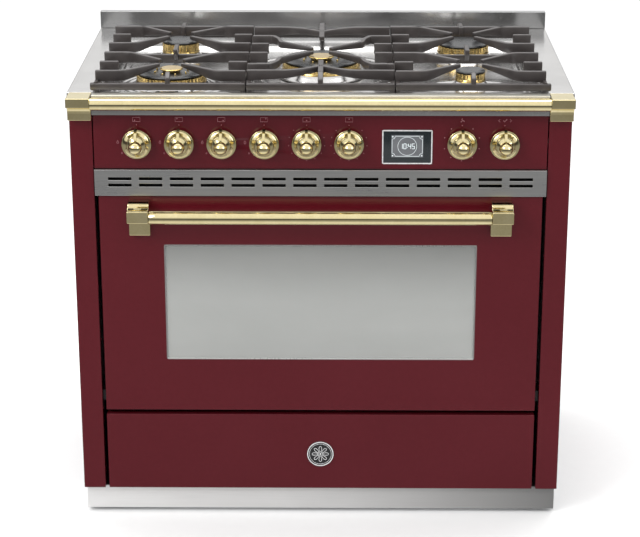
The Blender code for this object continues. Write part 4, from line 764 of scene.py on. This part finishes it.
def centreGrate():
    b, top, low = grate["bar"] * 0.9, grate["top"], grate["low"]
    edge = 0.1318
    at = burnerAt["centre"]
    frontY, backY = faceY + 0.005 + b / 2, faceY + 0.405 - b / 2
    shapes = [rod((-edge, frontY, hobZ + 0.0105), (edge, frontY, hobZ + 0.0105), 0.0085, 0.013, 0.0022),
              blade([(-edge, backY), (edge, backY)], [0.0300] * 2, [0.0125] * 2)]
    for side in (-1, 1):
        def add(points, tops, lows, **more):
            shapes.append(blade([(x * side, y) for x, y in points], tops, lows, **more))
        add([(edge - b / 2, frontY), (edge - b / 2, backY)], [0.0165] * 2, [0.0045] * 2)
        # arches that run from the side to the middle finger
        for rootY, meetY in ((faceY + 0.035, faceY + 0.072), (faceY + 0.396, faceY + 0.356)):
            add([(edge, rootY), (0.056, rootY), (0.022, (rootY + meetY) / 2), (0.0, meetY)],
                [top] * 4, [low, 0.0200, 0.0240, 0.0240], cut=0.022)
        # cranked arms round the burner
        for rootY, crankY, tipY in ((faceY + 0.085, faceY + 0.132, at.y - 0.0158),
                                    (faceY + 0.319, faceY + 0.265, at.y + 0.0110)):
            crank = 0.080
            add([(edge, rootY), (crank + 0.012, rootY), (crank, rootY + (crankY - rootY) * 0.5),
                 (crank - 0.004, crankY), (0.016, tipY)],
                [top] * 5, [low, low + 0.004, 0.0215, 0.0225, top - grate["tipDeep"]], cut=0.007)
            # ribs across the arm
            t = np.linspace(0.08, 0.88, 11)
            for share in t:
                x = (crank - 0.004) * (1 - share) + 0.016 * share
                y = crankY * (1 - share) + tipY * share
                shapes.append(moved(lathe([(0, -0.0010), (0.0034, -0.0010), (0.0040, 0), (0.0034, 0.0007),
                                           (0, 0.0007)], 10), x * side, y, hobZ + top))
        for y in (faceY + 0.176, faceY + 0.251):
            add([(edge, y), (edge - 0.033, y)], [top] * 2, [low] * 2)
        for y in (frontY + 0.006, backY - 0.006):
            shapes.append(moved(lathe(softened([(0, -0.0095), (0.0042, -0.0095), (0.0050, 0.0060),
                                                (0, 0.0060)], 0.001, 2), 20),
                                (edge - b / 2) * side, y, hobZ))
    # middle fingers from the front and from the back
    shapes.append(blade([(0, frontY - b / 2), (0, frontY + 0.014), (0, faceY + 0.116)],
                        [0.0240, top, top], [0.0045, 0.0180, top - 0.008], width=0.0095, cut=0.004))
    shapes.append(blade([(0, faceY + 0.309), (0, faceY + 0.385), (0, faceY + 0.412), (0, faceY + 0.444)],
                        [top, top, top, top - 0.002], [top - 0.008, 0.0180, 0.0060, 0.0020],
                        width=0.0095, cut=0.004))
    return shapes


piece("cast_grate_centre", centreGrate(), castIron, "grate_centre", 32, True, ("grate_centre",))

print("drawing the rail and blocks")
low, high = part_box("front_rail")
railRadius = (high.z - low.z) / 2
angle = np.linspace(0, 2 * math.pi, 56, endpoint=False)
outline = railRadius * np.stack([np.cos(angle), np.sin(angle)], 1)
# a bead groove is pressed in below the rail's middle
outline *= (1 - 0.07 * np.exp(-((np.degrees(angle) - 205) / 9) ** 2))[:, None]
rail = [sweep([(low.x, (low.y + high.y) / 2, (low.z + high.z) / 2),
               (0, (low.y + high.y) / 2, (low.z + high.z) / 2),
               (high.x, (low.y + high.y) / 2, (low.z + high.z) / 2)], outline)]
piece("brass_rail", rail, brass, "range", 32, True, ("front_rail",))
for side in ("left", "right"):
    eased("corner_block_" + side, "brass_block_" + side, brass, "range", 0.0012)
eased("rear_upstand", "upstand", mirrorSteel, "range", 0.0010)
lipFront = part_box("hob_top")[0].y
lip = {"half": 0.4035, "proud": 0.0004, "drop": 0.0010, "rise": 0.0006, "back": 0.0035, "ease": 0.0005}
piece("front_lip", [block((-lip["half"], lipFront - lip["proud"], hobZ - lip["drop"]),
                          (lip["half"], faceY + lip["back"], hobZ + lip["rise"]), lip["ease"])],
      satinLip, "range")


# ---- control panel ----

print("turning the knobs")
knob = {"ball": 0.0120, "neck": 0.0066, "pointerWidth": 0.0052}
knobNames = [n for n in nodes if n.startswith("knob_")]
knobFront = -(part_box("knob_oven_heat")[0].y - faceY)
dish = (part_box("knob_oven_heat")[1].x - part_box("knob_oven_heat")[0].x) / 2
ballAt = knobFront - knob["ball"]


def knobShapes():
    # a ball on a neck that spreads into a dished disc with a raised rim
    arc = np.radians(np.linspace(0, 128, 22))
    ball = np.stack([knob["ball"] * np.sin(arc), ballAt + knob["ball"] * np.cos(arc)], 1)
    rest = softened([ball[-1], (knob["neck"], ballAt - 0.0125), (0.0150, 0.0225), (0.0166, 0.0225),
                     (0.0172, 0.0200), (0.0225, 0.0150), (0.0245, 0.0142), (0.0262, 0.0142),
                     (dish, 0.0125), (dish, 0.0075), (0.0250, 0.0050), (0.0225, 0.0030), (0, 0.0030)],
                    0.0016, 5)
    body = lathe(np.concatenate([ball, rest[1:]]), 96)
    # the pointer: a wedge from the rim up to the ball
    w = knob["pointerWidth"] / 2
    path = np.array([(0, dish + 0.0016, 0.0140), (0, dish + 0.0010, 0.0160), (0, 0.0205, 0.0205),
                     (0, 0.0130, 0.0260), (0, 0.0080, 0.0300)])
    deep = np.array([0.0040, 0.0090, 0.0190, 0.0210, 0.0150])
    outline = roundedOutline(2 * w, 1.0, 0.3 * w, 3)
    outline[:, 1] = np.sign(outline[:, 1]) * 0.5
    wide = np.array([0.75, 1.0, 1.0, 0.9, 0.7])
    points, quads = sweep(path, outline, (0, 0, 1), np.stack([wide, deep], 1))
    return [facing(body), facing((points, quads))]


for name in knobNames:
    at = middle(name)
    parts = [moved(shape, at.x, faceY, hobZ - 0.090) for shape in knobShapes()]
    piece("brass_" + name, parts, brass, name, 34, True, (name,))

print("printing the panel's marks")
ink, lines = 0.0007, []
knobZ = hobZ - 0.090


def onPanel(shape, x, z):
    return facing(shape, x, faceY + 0.00005, z)


def spot(radius, x, z):
    return onPanel(lathe([(0, 0), (radius, 0), (radius, 0.0002), (0, 0.0002)], 16), x, z)


def iconStroke(points, x, z, width=ink):
    return onPanel(stroke(points, width), x, z)


gasKnobs = [n for n in knobNames if "oven" not in n]
gasKnobs.sort(key=lambda n: middle(n).x)
hobSpots = ((-0.0032, -0.0016), (-0.0032, 0.0016), (0.0032, -0.0016), (0.0032, 0.0016), (0, -0.0014),
            (0, 0.0014))
for name, (dotX, dotZ) in zip(gasKnobs, hobSpots):
    x = middle(name).x
    frameLine = [(-0.0065, -0.0038), (0.0065, -0.0038), (0.0065, 0.0038), (-0.0065, 0.0038),
                 (-0.0065, -0.0042)]
    lines += [iconStroke(frameLine, x, knobZ + 0.0425, 0.0006), spot(0.0010, x + dotX, knobZ + 0.0425 + dotZ),
              spot(0.0008, x, knobZ + 0.0325)]
for name in gasKnobs[:4]:
    x = middle(name).x
    flame = softened([(0, -0.0028), (-0.0022, -0.0006), (-0.0008, 0.0014), (0.0, 0.0036), (0.0010, 0.0012),
                      (0.0022, -0.0006), (0.0002, -0.0028)], 0.0012, 3)
    lines.append(iconStroke(flame, x - 0.0345, knobZ + 0.0005, 0.0006))
    lines.append(iconStroke(flame * 0.55, x - 0.0275, knobZ - 0.0195, 0.0005))
for name in gasKnobs[4:]:
    for degrees in np.linspace(45, 315, 11):
        a = math.radians(degrees)
        lines.append(spot(0.0007, middle(name).x + 0.0325 * math.sin(a), knobZ + 0.0325 * math.cos(a)))
x = middle("knob_oven_function").x
for degrees in np.arange(0, 360, 36):
    a = math.radians(degrees)
    lines.append(spot(0.0009, x + 0.0325 * math.sin(a), knobZ + 0.0325 * math.cos(a)))
# over the oven knobs: a fan sign, and two arrows round a tick
for degrees in (90, 210, 330):
    a = math.radians(degrees)
    bladeLine = [(0.0004 * math.cos(a), 0.0004 * math.sin(a)),
                 (0.0022 * math.cos(a + 0.5), 0.0022 * math.sin(a + 0.5)),
                 (0.0040 * math.cos(a + 0.1), 0.0040 * math.sin(a + 0.1))]
    lines.append(iconStroke(bladeLine, x, knobZ + 0.0415, 0.0010))
x = middle("knob_oven_heat").x
lines.append(spot(0.0008, x, knobZ + 0.0325))
lines.append(iconStroke([(-0.0030, 0.0004), (-0.0008, -0.0022), (0.0034, 0.0026)], x, knobZ + 0.0415, 0.0009))
for way in (-1, 1):
    lines.append(iconStroke([(way * 0.0090, 0.0022), (way * 0.0118, 0), (way * 0.0090, -0.0022)],
                            x, knobZ + 0.0415, 0.0006))
piece("panel_marks", lines, panelInk, "range")

print("fitting the clock")
low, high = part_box("clock_display")
clockX, clockZ, wide, tall = (low.x + high.x) / 2, (low.z + high.z) / 2, high.x - low.x, high.z - low.z


def frameRing(width, height, line, radius, deep):
    # a rectangular frame: a small rounded section carried round a rounded rectangle
    path = roundedOutline(width - line, height - line, radius, 5)
    path = np.concatenate([path, np.zeros((len(path), 1))], 1)
    section = np.array([(-line / 2, 0), (-line / 2, deep * 0.7), (-line / 4, deep), (line / 4, deep),
                        (line / 2, deep * 0.7), (line / 2, 0)])
    return sweep(path, section, (0, 0, 1), None, True)


clockY = low.y
piece("clock_body", [block((low.x + 0.0008, low.y + 0.0014, low.z + 0.0008),
                           (high.x - 0.0008, high.y, high.z - 0.0008), 0.0006)],
      clockGlass, "range", 32, True, ("clock_display",))
piece("clock_frame", [facing(frameRing(wide, tall, 0.0022, 0.0016, 0.0022), clockX, clockY + 0.0022, clockZ)],
      badgeSilver, "range")
screenY = low.y + 0.00135
piece("clock_screen", [facing(block((-0.0285, -0.0205, 0), (0.0285, 0.0205, 0.0002), 0.0001),
                              clockX, screenY, clockZ + 0.0015)], screenGrey, "range")
# a line frame with hollowed corners, dots in them, a circle, and the hours
halfW, halfH, cut = 0.0270, 0.0185, 0.0055
turn = np.linspace(0, math.pi / 2, 7)
frameLine = []
for sx, sy, flip in ((1, 1, 1), (-1, 1, -1), (-1, -1, 1), (1, -1, -1)):
    arc = np.stack([sx * (halfW - cut * np.cos(turn)), sy * (halfH - cut * np.sin(turn))], 1)
    # walks round anticlockwise, so every second corner is taken the other way
    arc = np.stack([sx * (halfW - cut * np.sin(turn)), sy * (halfH - cut * np.cos(turn))], 1)
    frameLine.append(arc if flip > 0 else arc[::-1])
frameLine = np.concatenate(frameLine + [frameLine[0][:1] + (1e-5, 0)])
screenLines = [stroke(frameLine, 0.0007), ring(0.0168, 0.0006, 0.0002)]
for sx in (-1, 1):
    for sy in (-1, 1):
        dot = lathe([(0, 0), (0.0013, 0), (0.0013, 0.0002), (0, 0.0002)], 14)
        screenLines.append(moved(dot, sx * (halfW - 0.0010), sy * (halfH - 0.0010)))
segments = {"a": ((-1, 2), (1, 2)), "b": ((1, 2), (1, 0)), "c": ((1, 0), (1, -2)),
            "d": ((-1, -2), (1, -2)), "e": ((-1, 0), (-1, -2)), "f": ((-1, 2), (-1, 0)),
            "g": ((-1, 0), (1, 0))}
digits = {"1": "bc", "2": "abged", "0": "abcdef", "5": "afgcd", "4": "fgbc"}
for sign, x in zip("1045", (-0.0108, -0.0042, 0.0042, 0.0108)):
    for segment in digits[sign]:
        (x0, y0), (x1, y1) = segments[segment]
        screenLines.append(moved(stroke([(x0 * 0.0021, y0 * 0.0023), (x1 * 0.0021, y1 * 0.0023)], 0.0011), x))
for y in (-0.0022, 0.0022):
    screenLines.append(moved(lathe([(0, 0), (0.0007, 0), (0.0007, 0.0002), (0, 0.0002)], 10), 0, y))
piece("clock_lines", [facing(shape, clockX, screenY - 0.0002, clockZ + 0.0015) for shape in screenLines],
      screenInk, "range")

# ---- panels ----

print("folding the panels")
for node, name, material, body, radius in (
        ("control_panel", "panel_face", enamelRed, "range", 0.0012),
        ("door_outer_panel", "door_face", enamelRed, "door", 0.0018),
        ("drawer_front", "drawer_face", enamelRed, "drawer", 0.0018),
        ("side_panel_left", "side_left", enamelRed, "range", 0.0012),
        ("side_panel_right", "side_right", enamelRed, "range", 0.0012),
        ("vent_strip", "vent_face", brushedSteel, "range", 0.0007),
        ("plinth", "plinth_face", plinthSteel, "range", 0.0010),
        ("handle_bracket_left", "handle_corbel_left", brass, "door", 0.0025),
        ("handle_bracket_right", "handle_corbel_right", brass, "door", 0.0025)):
    eased(node, name, material, body, radius)

print("hanging the handle")
low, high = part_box("door_handle_bar")
handleRadius, handleY, handleZ = (high.z - low.z) / 2, (low.y + high.y) / 2, (low.z + high.z) / 2
angle = np.linspace(0, 2 * math.pi, 64, endpoint=False)
xs = np.concatenate([[low.x, low.x + 0.0005, low.x + 0.0012], np.linspace(low.x + 0.02, high.x - 0.02, 9),
                     [high.x - 0.0012, high.x - 0.0005, high.x]])
size = np.ones(len(xs))
size[[0, -1]] = 0.90
size[[1, -2]] = 0.97
outline = handleRadius * np.stack([np.cos(angle), np.sin(angle)], 1)
path = np.stack([xs, np.full(len(xs), handleY), np.full(len(xs), handleZ)], 1)
piece("handle_bar", [sweep(path, outline, (0, 0, 1), np.stack([size, size], 1))], brass, "door", 32, True,
      ("door_handle_bar",))

print("glazing the door")
low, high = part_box("door_glass_outer")
winLow = np.array([low.x + 0.0165, low.z + 0.0165])
winHigh = np.array([high.x - 0.0165, high.z - 0.0165])
winX, winZ = 0.0, float(winLow[1] + winHigh[1]) / 2
winW, winH = float(winHigh[0] - winLow[0]), float(winHigh[1] - winLow[1])
piece("window_pane", [block(tuple(low), tuple(high), 0.0008)], windowGlass, "door", 32, True,
      ("door_glass_outer",))
piece("window_trim", [facing(frameRing(winW + 0.0020, winH + 0.0020, 0.0028, 0.0030, 0.0024), winX,
                             low.y + 0.0002, winZ)], paleSteel, "door")

# ---- drawer badge ----

print("fixing the badge")
low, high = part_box("drawer_badge")
badgeRadius, badgeX, badgeZ, badgeY = (high.x - low.x) / 2, (low.x + high.x) / 2, (low.z + high.z) / 2, low.y
base = lathe(softened([(0, 0), (badgeRadius, 0), (badgeRadius, 0.0014), (0.0215, 0.0019), (0, 0.0019)],
                      0.0008, 3), 72)
piece("badge_disc", [facing(base, badgeX, badgeY + 0.0026, badgeZ)], badgeBlack, "drawer", 32, True,
      ("drawer_badge",))
trim = [facing(ring(badgeRadius - 0.0010, 0.0016, 0.0026, 72), badgeX, badgeY + 0.0026, badgeZ),
        facing(ring(0.0205, 0.0006, 0.0022, 60), badgeX, badgeY + 0.0026, badgeZ)]
# a plain rosette: eight leaf shapes, each a closed loop of two sine curves
t = np.linspace(0, 2 * math.pi, 25)
for turn in range(8):
    a = turn * math.pi / 4
    out, across = 0.0095 - 0.0060 * np.cos(t), 0.0024 * np.sin(t) * (1 - 0.35 * np.cos(t))
    leaf = np.stack([out * math.cos(a) - across * math.sin(a), out * math.sin(a) + across * math.cos(a)], 1)
    trim.append(facing(stroke(leaf, 0.0008, 0.0005), badgeX, badgeY + 0.0008, badgeZ))
trim.append(facing(lathe([(0, 0.0017), (0.0018, 0.0017), (0.0014, 0.0024), (0, 0.0026)], 24),
                   badgeX, badgeY + 0.0026, badgeZ))
piece("badge_trim", trim, badgeSilver, "drawer")

# ---- oven ----

print("fitting out the oven")
cavLow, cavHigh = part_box("oven_cavity")
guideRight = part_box("rack_guide_right")
rackLow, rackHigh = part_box("oven_rack")


def rackShapes(x0, x1, y0, y1, z, wires=25):
    # a frame wire, a wire across the back, close wires front to back over three cross wires
    frameWire = wire([(x0, y1 - 0.004, z), (x0, y0, z), (x1, y0, z), (x1, y1 - 0.004, z)], 0.0030)
    shapes = [frameWire, wire([(x0, y1 - 0.004, z), (x1, y1 - 0.004, z)], 0.0030)]
    for x in np.linspace(x0, x1, wires + 2)[1:-1]:
        shapes.append(wire([(x, y0, z + 0.0005), (x, y1 - 0.004, z + 0.0005)], 0.0016, 8))
    for y in np.linspace(y0, y1, 5)[1:-1]:
        shapes.append(wire([(x0, y, z - 0.0020), (x1, y, z - 0.0020)], 0.0022, 8))
    return shapes


rackZ = (rackLow.z + rackHigh.z) / 2
piece("rack_wires", rackShapes(rackLow.x + 0.003, rackHigh.x - 0.003, rackLow.y + 0.003, rackHigh.y, rackZ),
      chrome, "rack", 32, True, ("oven_rack",))
guideLevels = np.linspace(guideRight[0].z + 0.012, guideRight[1].z - 0.012, 5)
for side, name in ((-1, "left"), (1, "right")):
    gLow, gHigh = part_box("rack_guide_" + name)
    xOut = gHigh.x if side > 0 else gLow.x
    xIn = gLow.x if side > 0 else gHigh.x
    xWire = xIn + side * 0.0055
    y0, y1 = gLow.y + 0.003, gHigh.y - 0.003
    z0, z1 = gLow.z + 0.003, gHigh.z - 0.003
    shapes = [wire([(xWire, y0, z0), (xWire, y0, z1), (xWire, y1, z1), (xWire, y1, z0),
                    (xWire, y0 + 0.002, z0)], 0.0026, 10, 0.016, (1, 0, 0))]
    for z in (rackZ - 0.0085, rackZ + 0.0095, guideLevels[3] - 0.009, guideLevels[3] + 0.009,
              guideLevels[4] - 0.009):
        shapes.append(wire([(xWire + side * 0.0015, y0, z), (xWire + side * 0.0015, y1, z)], 0.0022, 10))
    for y in (y0 + 0.03, y1 - 0.03):
        for z in (gLow.z + 0.012, gHigh.z - 0.012):
            shapes.append(rod((xWire, y, z), (xOut, y, z), 0.006, 0.006, 0.0028, (0, 0, 1)))
    piece("guide_wires_" + name, shapes, chrome, "range", 32, True, ("rack_guide_" + name,))
# a second shelf near the top of the oven, resting in the guides
shelfZ = guideLevels[3] - 0.0035
piece("upper_rack", rackShapes(rackLow.x + 0.003, rackHigh.x - 0.003, rackLow.y + 0.003, rackHigh.y, shelfZ),
      chrome, "range")
# the lamp in the back wall's upper left corner
lampAt = (cavLow.x + 0.085, cavHigh.y - 0.004, cavHigh.z - 0.070)
lampProfile = softened([(0, -0.002), (0.026, -0.002), (0.026, 0.004), (0.022, 0.006),
                        (0.020, 0.004), (0, 0.004)], 0.0015, 3)
piece("lamp_ring", [facing(lathe(lampProfile, 40), *lampAt)], chrome, "range")
dome = np.radians(np.linspace(90, 0, 9))
piece("lamp_cover", [facing(lathe(np.concatenate([[(0, 0.0040)], np.stack(
    [0.0195 * np.sin(dome), 0.0042 + 0.010 * np.cos(dome)], 1)]), 40), *lampAt)], lampGlass, "range")
# the door gasket round the oven's mouth
gasketPath = roundedOutline(cavHigh.x - cavLow.x - 0.030, cavHigh.z - cavLow.z - 0.030, 0.020, 8)
gasketPath = np.concatenate([gasketPath, np.zeros((len(gasketPath), 1))], 1)
angle = np.linspace(0, 2 * math.pi, 14, endpoint=False)
bead = np.stack([0.0040 * np.cos(angle), 0.0020 * np.sin(angle)], 1)
mouthZ = (cavLow.z + cavHigh.z) / 2
piece("door_gasket", [facing(sweep(gasketPath, bead, (0, 0, 1), None, True), 0, cavLow.y + 0.0010, mouthZ)],
      rubber, "range")

# ---- fasteners, back and underside ----

print("putting in the screws")


def screwHead(radius=0.0042, rise=0.0022):
    # a domed head with a cross of two thin bars set into its top
    arc = np.linspace(0, 1, 7)
    dome = np.stack([radius * np.sin(arc * math.pi / 2)[::-1], rise * np.cos(arc * math.pi / 2)[::-1]], 1)
    return [lathe(np.concatenate([[(0, -0.001), (radius, -0.001)], dome]), 20),
            block((-radius * 0.55, -0.0004, rise - 0.0004), (radius * 0.55, 0.0004, rise + 0.0001), 0.0001),
            block((-0.0004, -radius * 0.55, rise - 0.0004), (0.0004, radius * 0.55, rise + 0.0001), 0.0001)]


def backFacing(shape, x, y, z):
    # like facing, but looking out of the back
    return moved(facing(shape), x, y, z, turn=math.pi)


backLow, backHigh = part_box("back_panel")
screws = []
for x in (-0.425, -0.2125, 0.0, 0.2125, 0.425):
    for z in (backLow.z + 0.018, backHigh.z - 0.018):
        screws += [backFacing(s, x, backHigh.y, z) for s in screwHead()]
for x in (-0.430, 0.430):
    for z in (0.24, 0.42, 0.60):
        screws += [backFacing(s, x, backHigh.y, z) for s in screwHead()]
termLow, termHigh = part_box("terminal_box")
for x in (termLow.x + 0.010, termHigh.x - 0.010):
    coverZ = (termLow.z + termHigh.z) / 2 + 0.008
    screws += [backFacing(s, x, termHigh.y, coverZ) for s in screwHead(0.0034, 0.0016)]
piece("back_screws", screws, chrome, "range")
# two stiffening swages pressed across the back
swages = []
for z in (backLow.z + 0.150, backHigh.z - 0.100):
    xs = np.linspace(-0.395, 0.395, 61)
    v = np.linspace(-1, 1, 13)
    rise = 0.0030 * (np.cos(v * math.pi) + 1) / 2 * smoothStep((0.395 - np.abs(xs)) / 0.02)[:, None]
    swages.append((np.stack([np.repeat(-xs[:, None], 13, 1), backHigh.y + 0.0001 + rise,
                             z + 0.012 * np.repeat(v[None], 61, 0)], -1)))
piece("back_swages", [sheet(points) for points in swages], zinc, "range", 40, False)
for name in ("front_left", "front_right", "rear_left", "rear_right"):
    low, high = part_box("foot_" + name)
    at, radius = (low + high) / 2, (high.x - low.x) / 2
    pad = lathe(softened([(0, 0), (radius - 0.001, 0), (radius, 0.002), (radius - 0.001, 0.0075),
                          (radius - 0.006, 0.0095), (0.0085, 0.0105), (0, 0.0105)], 0.0012, 3), 48)
    # the thread: a stem whose radius ripples with height
    rise = np.linspace(0.0100, high.z - 0.001, 56)
    thread = 0.0045 + 0.0005 * np.cos(2 * math.pi * rise / 0.00175)
    stem = lathe(np.concatenate([[(0, 0.0095)], np.stack([thread, rise], 1), [(0, high.z)]]), 20)
    angle = np.arange(6) * math.pi / 3
    nutLine = np.stack([0.0090 * np.cos(angle), 0.0090 * np.sin(angle)], 1)
    nut = sweep([(0, 0, 0.0215), (0, 0, 0.0220), (0, 0, 0.0275), (0, 0, 0.0280)], nutLine, (0, 1, 0),
                [(0.93, 0.93), (1, 1), (1, 1), (0.93, 0.93)])
    piece("foot_pad_" + name, [moved(pad, at.x, at.y, low.z)], blackPlastic, "foot_" + name, 32, True,
          ("foot_" + name,))
    piece("foot_stem_" + name, [moved(s, at.x, at.y, low.z) for s in (stem, nut)], zinc, "foot_" + name)

# side walls of the drawer's bay, behind the posts, in black: dark sheets that stand in for the shade inside
# the bay, painted shade
frameBack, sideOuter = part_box("front_frame")[1].y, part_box("side_panel_right")[1].x
bay = {"inset": 0.0348, "thick": 0.0008, "low": 0.0570, "high": 0.2250, "frontGap": 0.003,
       "backGap": 0.010, "ease": 0.0002}
for side, name in ((-1, "left"), (1, "right")):
    x = sorted((side * (sideOuter - bay["inset"]), side * (sideOuter - bay["inset"] - bay["thick"])))
    wall = block((x[0], frameBack + bay["frontGap"], bay["low"]),
                 (x[1], backLow.y - bay["backGap"], bay["high"]), bay["ease"])
    piece("bay_shade_wall_" + name, [wall], blackEnamel, "range")


# ---- floor, light and camera ----

print("setting the stage")
stage = {"floorSize": 60.0, "cameraBack": 3.40, "cameraX": 0.029, "cameraHeight": 1.672,
         "pitchDown": 19.09, "yawLeft": 0.50, "lens": 111.15}

half = stage["floorSize"] / 2
corner = np.array([[-half, -half, 0], [half, -half, 0], [-half, half, 0], [half, half, 0]], float)
floorMesh = bpy.data.meshes.new("floor")
floorMesh.from_pydata(corner.tolist(), [], [(0, 1, 3, 2)])
floor = bpy.data.objects.new("floor", floorMesh)
bpy.context.scene.collection.objects.link(floor)
floorMesh.materials.append(surface("paleFloor", ((0.86, 0.86, 0.86), (0.88, 0.88, 0.88)),
                                   (0.75, 0.85), patch=(0.5, 0.5, 0.5), fine=(40, 40, 40),
                                   bump=(0.0, 0.0001)))

world = bpy.data.worlds.new("softStudio")
bpy.context.scene.world = world
world.use_nodes = True
# brightness by height of the direction: a bright ceiling, a dim far wall, a lit floor nearby
skyStops = ((-1.0, 0.95), (-0.72, 0.90), (-0.60, 0.38), (-0.28, 0.34), (-0.14, 0.07), (0.05, 0.06),
            (0.12, 0.90), (0.50, 1.15), (1.0, 1.20))
tree = world.node_tree
way = tree.nodes.new("ShaderNodeSeparateXYZ")
tree.links.new(tree.nodes.new("ShaderNodeTexCoord").outputs["Generated"], way.inputs["Vector"])
ramp = tree.nodes.new("ShaderNodeValToRGB")
while len(ramp.color_ramp.elements) < len(skyStops):
    ramp.color_ramp.elements.new(0.5)
for element, (height, bright) in zip(ramp.color_ramp.elements, skyStops):
    element.position = (height + 1) / 2
    element.color = (bright, bright, bright, 1)
tree.links.new(spread(tree, way.outputs["Z"], -1, 1), ramp.inputs["Fac"])
tree.links.new(ramp.outputs["Color"], tree.nodes["Background"].inputs["Color"])
floor.visible_glossy = False


def softBox(name, place, target, width, height, watts, colour=(1, 1, 1)):
    # a rectangular light aimed at a point
    data = bpy.data.lights.new(name, "AREA")
    data.shape = "RECTANGLE"
    data.size, data.size_y = width, height
    data.energy = watts
    data.color = colour
    lamp = bpy.data.objects.new(name, data)
    lamp.location = place
    lamp.rotation_euler = (Vector(target) - Vector(place)).to_track_quat("-Z", "Y").to_euler()
    bpy.context.scene.collection.objects.link(lamp)


softBox("keyBox", (-2.2, -2.4, 2.6), (0, 0, 0.5), 1.6, 1.6, 60)
softBox("fillBox", (2.6, -2.0, 1.8), (0, 0, 0.5), 1.2, 1.8, 18)
softBox("topBox", (0.0, 0.4, 3.0), (0, 0, 0.8), 2.4, 1.2, 45)

lens = bpy.data.cameras.new("camera")
lens.sensor_width = 36
lens.lens = stage["lens"]
camera = bpy.data.objects.new("camera", lens)
camera.location = (stage["cameraX"], faceY - stage["cameraBack"], stage["cameraHeight"])
camera.rotation_euler = (math.radians(90 - stage["pitchDown"]), 0, math.radians(stage["yawLeft"]))
bpy.context.scene.collection.objects.link(camera)
bpy.context.scene.camera = camera
bpy.context.scene.view_settings.view_transform = "Standard"
